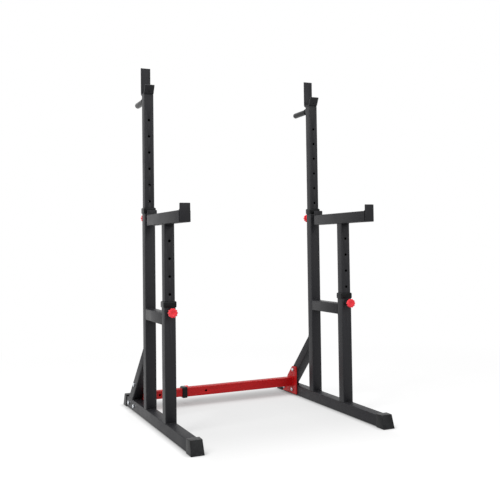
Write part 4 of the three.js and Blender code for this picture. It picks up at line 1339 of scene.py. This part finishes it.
# %% [markdown]
# ## Camera
# The camera stands where the photographer's did: in front, to the left and at waist height, looking
# slightly up. It could be placed by eye, but these numbers come from a fit of the stand's corners to the
# photograph. The picture is a crop out of a wider frame, so the lens is shifted to the left and down.
# Lengths on the picture are in pixels, angles in degrees.

# %% Camera
IMAGE_SIZE = 500
SENSOR = 36
FOCAL_PIXELS = 781.34
SHIFT_PIXELS = (-68.85, -34.49)
STANDPOINT = (-1.3670, -3.5247, 0.8134)
LOOK = {"yaw": 26.59, "pitch": 2.07, "roll": -0.94}
camera_data = bpy.data.cameras.new("photograph_camera")
camera_data.sensor_width = SENSOR
camera_data.lens = FOCAL_PIXELS / IMAGE_SIZE * SENSOR
camera_data.shift_x = SHIFT_PIXELS[0] / IMAGE_SIZE
camera_data.shift_y = SHIFT_PIXELS[1] / IMAGE_SIZE
camera = bpy.data.objects.new("photograph_camera", camera_data)
camera.matrix_world = (Matrix.Translation(STANDPOINT)
                       @ Matrix.Rotation(math.radians(-LOOK["yaw"]), 4, "Z")
                       @ Matrix.Rotation(math.radians(90 + LOOK["pitch"]), 4, "X")
                       @ Matrix.Rotation(math.radians(LOOK["roll"]), 4, "Z"))
bpy.context.scene.collection.objects.link(camera)
bpy.context.scene.camera = camera
print("the lens is", round(camera_data.lens, 1), "mm long")

# %% [markdown]
# ## White world
# A catalogue picture is taken in a white room. A strong white world would light the object too much, so
# the world is full white only for rays that come from the camera, from a reflection or through glass, and
# lights the object at a lower, plain level.

# %% World
WHITE = (1, 1, 1, 1)
FILL = 0.3


def seen_directly(tree):
    """Is 1 for a ray of the camera, of a reflection or of a transmission."""
    path = add_node(tree, "ShaderNodeLightPath").outputs
    both = add_node(tree, "ShaderNodeMath", {0: path["Is Camera Ray"], 1: path["Is Glossy Ray"]},
                    operation="ADD")
    return add_node(tree, "ShaderNodeMath", {0: both.outputs[0], 1: path["Is Transmission Ray"]},
                    operation="ADD", use_clamp=True).outputs[0]


world = bpy.data.worlds.new("white_studio")
world.use_nodes = True
world.node_tree.nodes.clear()
tree = world.node_tree
level = add_node(tree, "ShaderNodeMapRange", {"Value": seen_directly(tree), "To Min": FILL, "To Max": 1.0})
sky = add_node(tree, "ShaderNodeBackground", {"Color": WHITE, "Strength": level.outputs["Result"]})
add_node(tree, "ShaderNodeOutputWorld", {"Surface": sky.outputs["Background"]})
bpy.context.scene.world = world
print("the world lights the stand at", FILL, "of the white that the camera sees")

# %% [markdown]
# ## Paper sweep
# The stand is on a sweep of matt white paper. A plain white plane would meet the white world in a grey
# horizon. So the paper has a mid grey that takes the lamps' light and shadows, and glows towards the
# camera by as much as it needs to come out white. Far from the stand only the glow is left, and the
# horizon is gone.

# %% Paper
FLOOR_SIZE = 60
FIBRE = 8 * MM
PAPER = ("#808080", "#848484")
bpy.ops.mesh.primitive_plane_add(size=FLOOR_SIZE, location=(0, 0, 0))
floor = bpy.context.object
floor.name = "studio_floor"
sweep, tree = new_finish("matt_white_sweep")
place = add_node(tree, "ShaderNodeTexCoord").outputs["Object"]
fibre = add_node(tree, "ShaderNodeTexNoise", {"Vector": place, "Scale": 1 / FIBRE, "Detail": 3.0})
paper = add_node(tree, "ShaderNodeValToRGB", {"Fac": fibre.outputs["Fac"]},
                 [(0.3, PAPER[0]), (0.7, PAPER[1])])
matt = add_node(tree, "ShaderNodeBsdfDiffuse", {"Color": paper.outputs["Color"]})
print("the paper is", round(linear(PAPER[0])[0], 2), "to", round(linear(PAPER[1])[0], 2), "of white")

# %% [markdown]
# ## Painted shade on the paper
# Between the two frames the paper is a little grey, and greyer behind the crossbar, where the bar's soft
# shadow lies. Both are painted shade: the lamps alone throw it elsewhere, so each of these two zones dims
# the glow there. The zone under the bar takes painted contact shade away instead. A zone is a box on the
# floor with soft edges. Each edge is given as two places in metres: where the zone starts and where it is
# full. Across, it is measured from the stand's middle.

# %% Painted shade zones
PAINTED_SHADE_BETWEEN_FRAMES = {"across": (0.47, 0.39), "front": (-0.95, -0.25), "rear": (0.70, 0.40)}
PAINTED_SHADOW_BEHIND_BAR = {"across": (0.47, 0.39), "front": (0.28, 0.46), "rear": (0.66, 0.48)}
UNDER_BAR_PAINTED_LIGHT = {"across": (0.40, 0.32), "front": (0.28, 0.33), "rear": (0.50, 0.45)}
FRAMES_PAINTED_SHADE = 0.22
BAR_PAINTED_SHADOW = 0.43
axes = add_node(tree, "ShaderNodeSeparateXYZ", {"Vector": place}).outputs
across = add_node(tree, "ShaderNodeMath", {0: axes["X"]}, operation="ABSOLUTE").outputs[0]


def zone(edges, level):
    """A level inside a zone's soft edges and 0 outside."""
    for edge, value in (("across", across), ("front", axes["Y"]), ("rear", axes["Y"])):
        start, full = edges[edge]
        share = add_node(tree, "ShaderNodeMapRange", {"Value": value, "From Min": start, "From Max": full},
                         interpolation_type="SMOOTHSTEP").outputs["Result"]
        level = add_node(tree, "ShaderNodeMath", {0: level, 1: share}, operation="MULTIPLY").outputs[0]
    return level


# the painted shade between the frames and the painted shadow behind the bar, both taken off the glow
painted_shades = add_node(tree, "ShaderNodeMath", {
    0: zone(PAINTED_SHADE_BETWEEN_FRAMES, FRAMES_PAINTED_SHADE), 1: zone(PAINTED_SHADOW_BEHIND_BAR, BAR_PAINTED_SHADOW)}, operation="ADD").outputs[0]
white = add_node(tree, "ShaderNodeMath", {0: 1.0, 1: painted_shades}, operation="SUBTRACT").outputs[0]
print("the paper glows", FRAMES_PAINTED_SHADE, "less between the frames and", BAR_PAINTED_SHADOW, "less behind the bar")

# %% [markdown]
# ## Glow of the paper
# Where something stands on the paper, no light reaches its foot, so an Ambient Occlusion node dims the
# glow within 32 mm of it, as painted contact shade. Right under the bar the photograph shows no such line,
# and this painted shade is masked out there.
# Rays that don't come from the camera meet a weaker glow, which is the light that white paper throws up
# on the stand.

# %% Glow
GLOW = 0.80
UPWARD_GLOW = 0.6
CLOSED_IN = 32 * MM
CLOSED_IN_SAMPLES = 12
FADE = (1.4, 3.0)
open_sky = add_node(tree, "ShaderNodeAmbientOcclusion", {"Distance": CLOSED_IN}, samples=CLOSED_IN_SAMPLES)
# the mask under the bar takes the painted contact shade away there
lit_share = add_node(tree, "ShaderNodeMath", {0: open_sky.outputs["AO"], 1: zone(UNDER_BAR_PAINTED_LIGHT, 1.0)},
                     operation="MAXIMUM").outputs[0]
direct = seen_directly(tree)
seen_glow = GLOW
for share in (direct, lit_share, white):
    seen_glow = add_node(tree, "ShaderNodeMath", {0: seen_glow, 1: share}, operation="MULTIPLY").outputs[0]
thrown_glow = add_node(tree, "ShaderNodeMapRange", {"Value": direct, "To Min": UPWARD_GLOW, "To Max": 0.0})
strength = add_node(tree, "ShaderNodeMath", {0: seen_glow, 1: thrown_glow.outputs["Result"]},
                    operation="ADD").outputs[0]
glow = add_node(tree, "ShaderNodeEmission", {"Color": WHITE, "Strength": strength})
lit = add_node(tree, "ShaderNodeAddShader", {0: matt.outputs["BSDF"], 1: glow.outputs["Emission"]})
distance = add_node(tree, "ShaderNodeVectorMath", {0: place}, operation="LENGTH").outputs["Value"]
fade = add_node(tree, "ShaderNodeMapRange", {"Value": distance, "From Min": FADE[0], "From Max": FADE[1]},
                interpolation_type="SMOOTHSTEP").outputs["Result"]
far = add_node(tree, "ShaderNodeEmission", {"Color": WHITE, "Strength": direct})
shader = add_node(tree, "ShaderNodeMixShader", {
    "Fac": fade, 1: lit.outputs["Shader"], 2: far.outputs["Emission"]})
close_finish(tree, shader.outputs["Shader"])
floor.data.materials.append(sweep)
floor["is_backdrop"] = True
print("the floor's material has", len(tree.nodes), "nodes")

# %% [markdown]
# ## Soft boxes
# Three large square lamps light the stand: the strongest from the upper left, a weak one from the front,
# and one from above. Spots or a sun would throw hard shadows, and a lamp as large as these, 3 m across,
# throws hardly any. All of them face the stand's middle at chest height. The view is set to Standard, so
# that a colour comes out as it is written.

# %% Soft boxes
CHEST = (0, 0, 1.3)
BOX_SIZE = 3.0
SOFT_BOXES = {
    "left_soft_box": ((-4.6, -2.4, 5.0), 290),
    "front_soft_box": ((1.8, -6.0, 3.6), 90),
    "top_soft_box": ((0, 0.3, 5.5), 115),
}
for name, (place, power) in SOFT_BOXES.items():
    data = bpy.data.lights.new(name, "AREA")
    data.size = BOX_SIZE
    data.energy = power
    lamp = bpy.data.objects.new(name, data)
    way = Vector(CHEST) - Vector(place)
    lamp.matrix_world = Matrix.Translation(place) @ way.to_track_quat("-Z", "Y").to_matrix().to_4x4()
    bpy.context.scene.collection.objects.link(lamp)
    print(name, "is", round(way.length, 1), "m away with", power, "W")
bpy.context.scene.view_settings.view_transform = "Standard"

# %% [markdown]
# ## Keeping the sizes
# The dressed stand must be as large as the plain one. Its box is printed.

# %% The dressed stand's size
low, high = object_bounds()
print("the dressed stand is", [round(size / MM) for size in high - low], "mm")
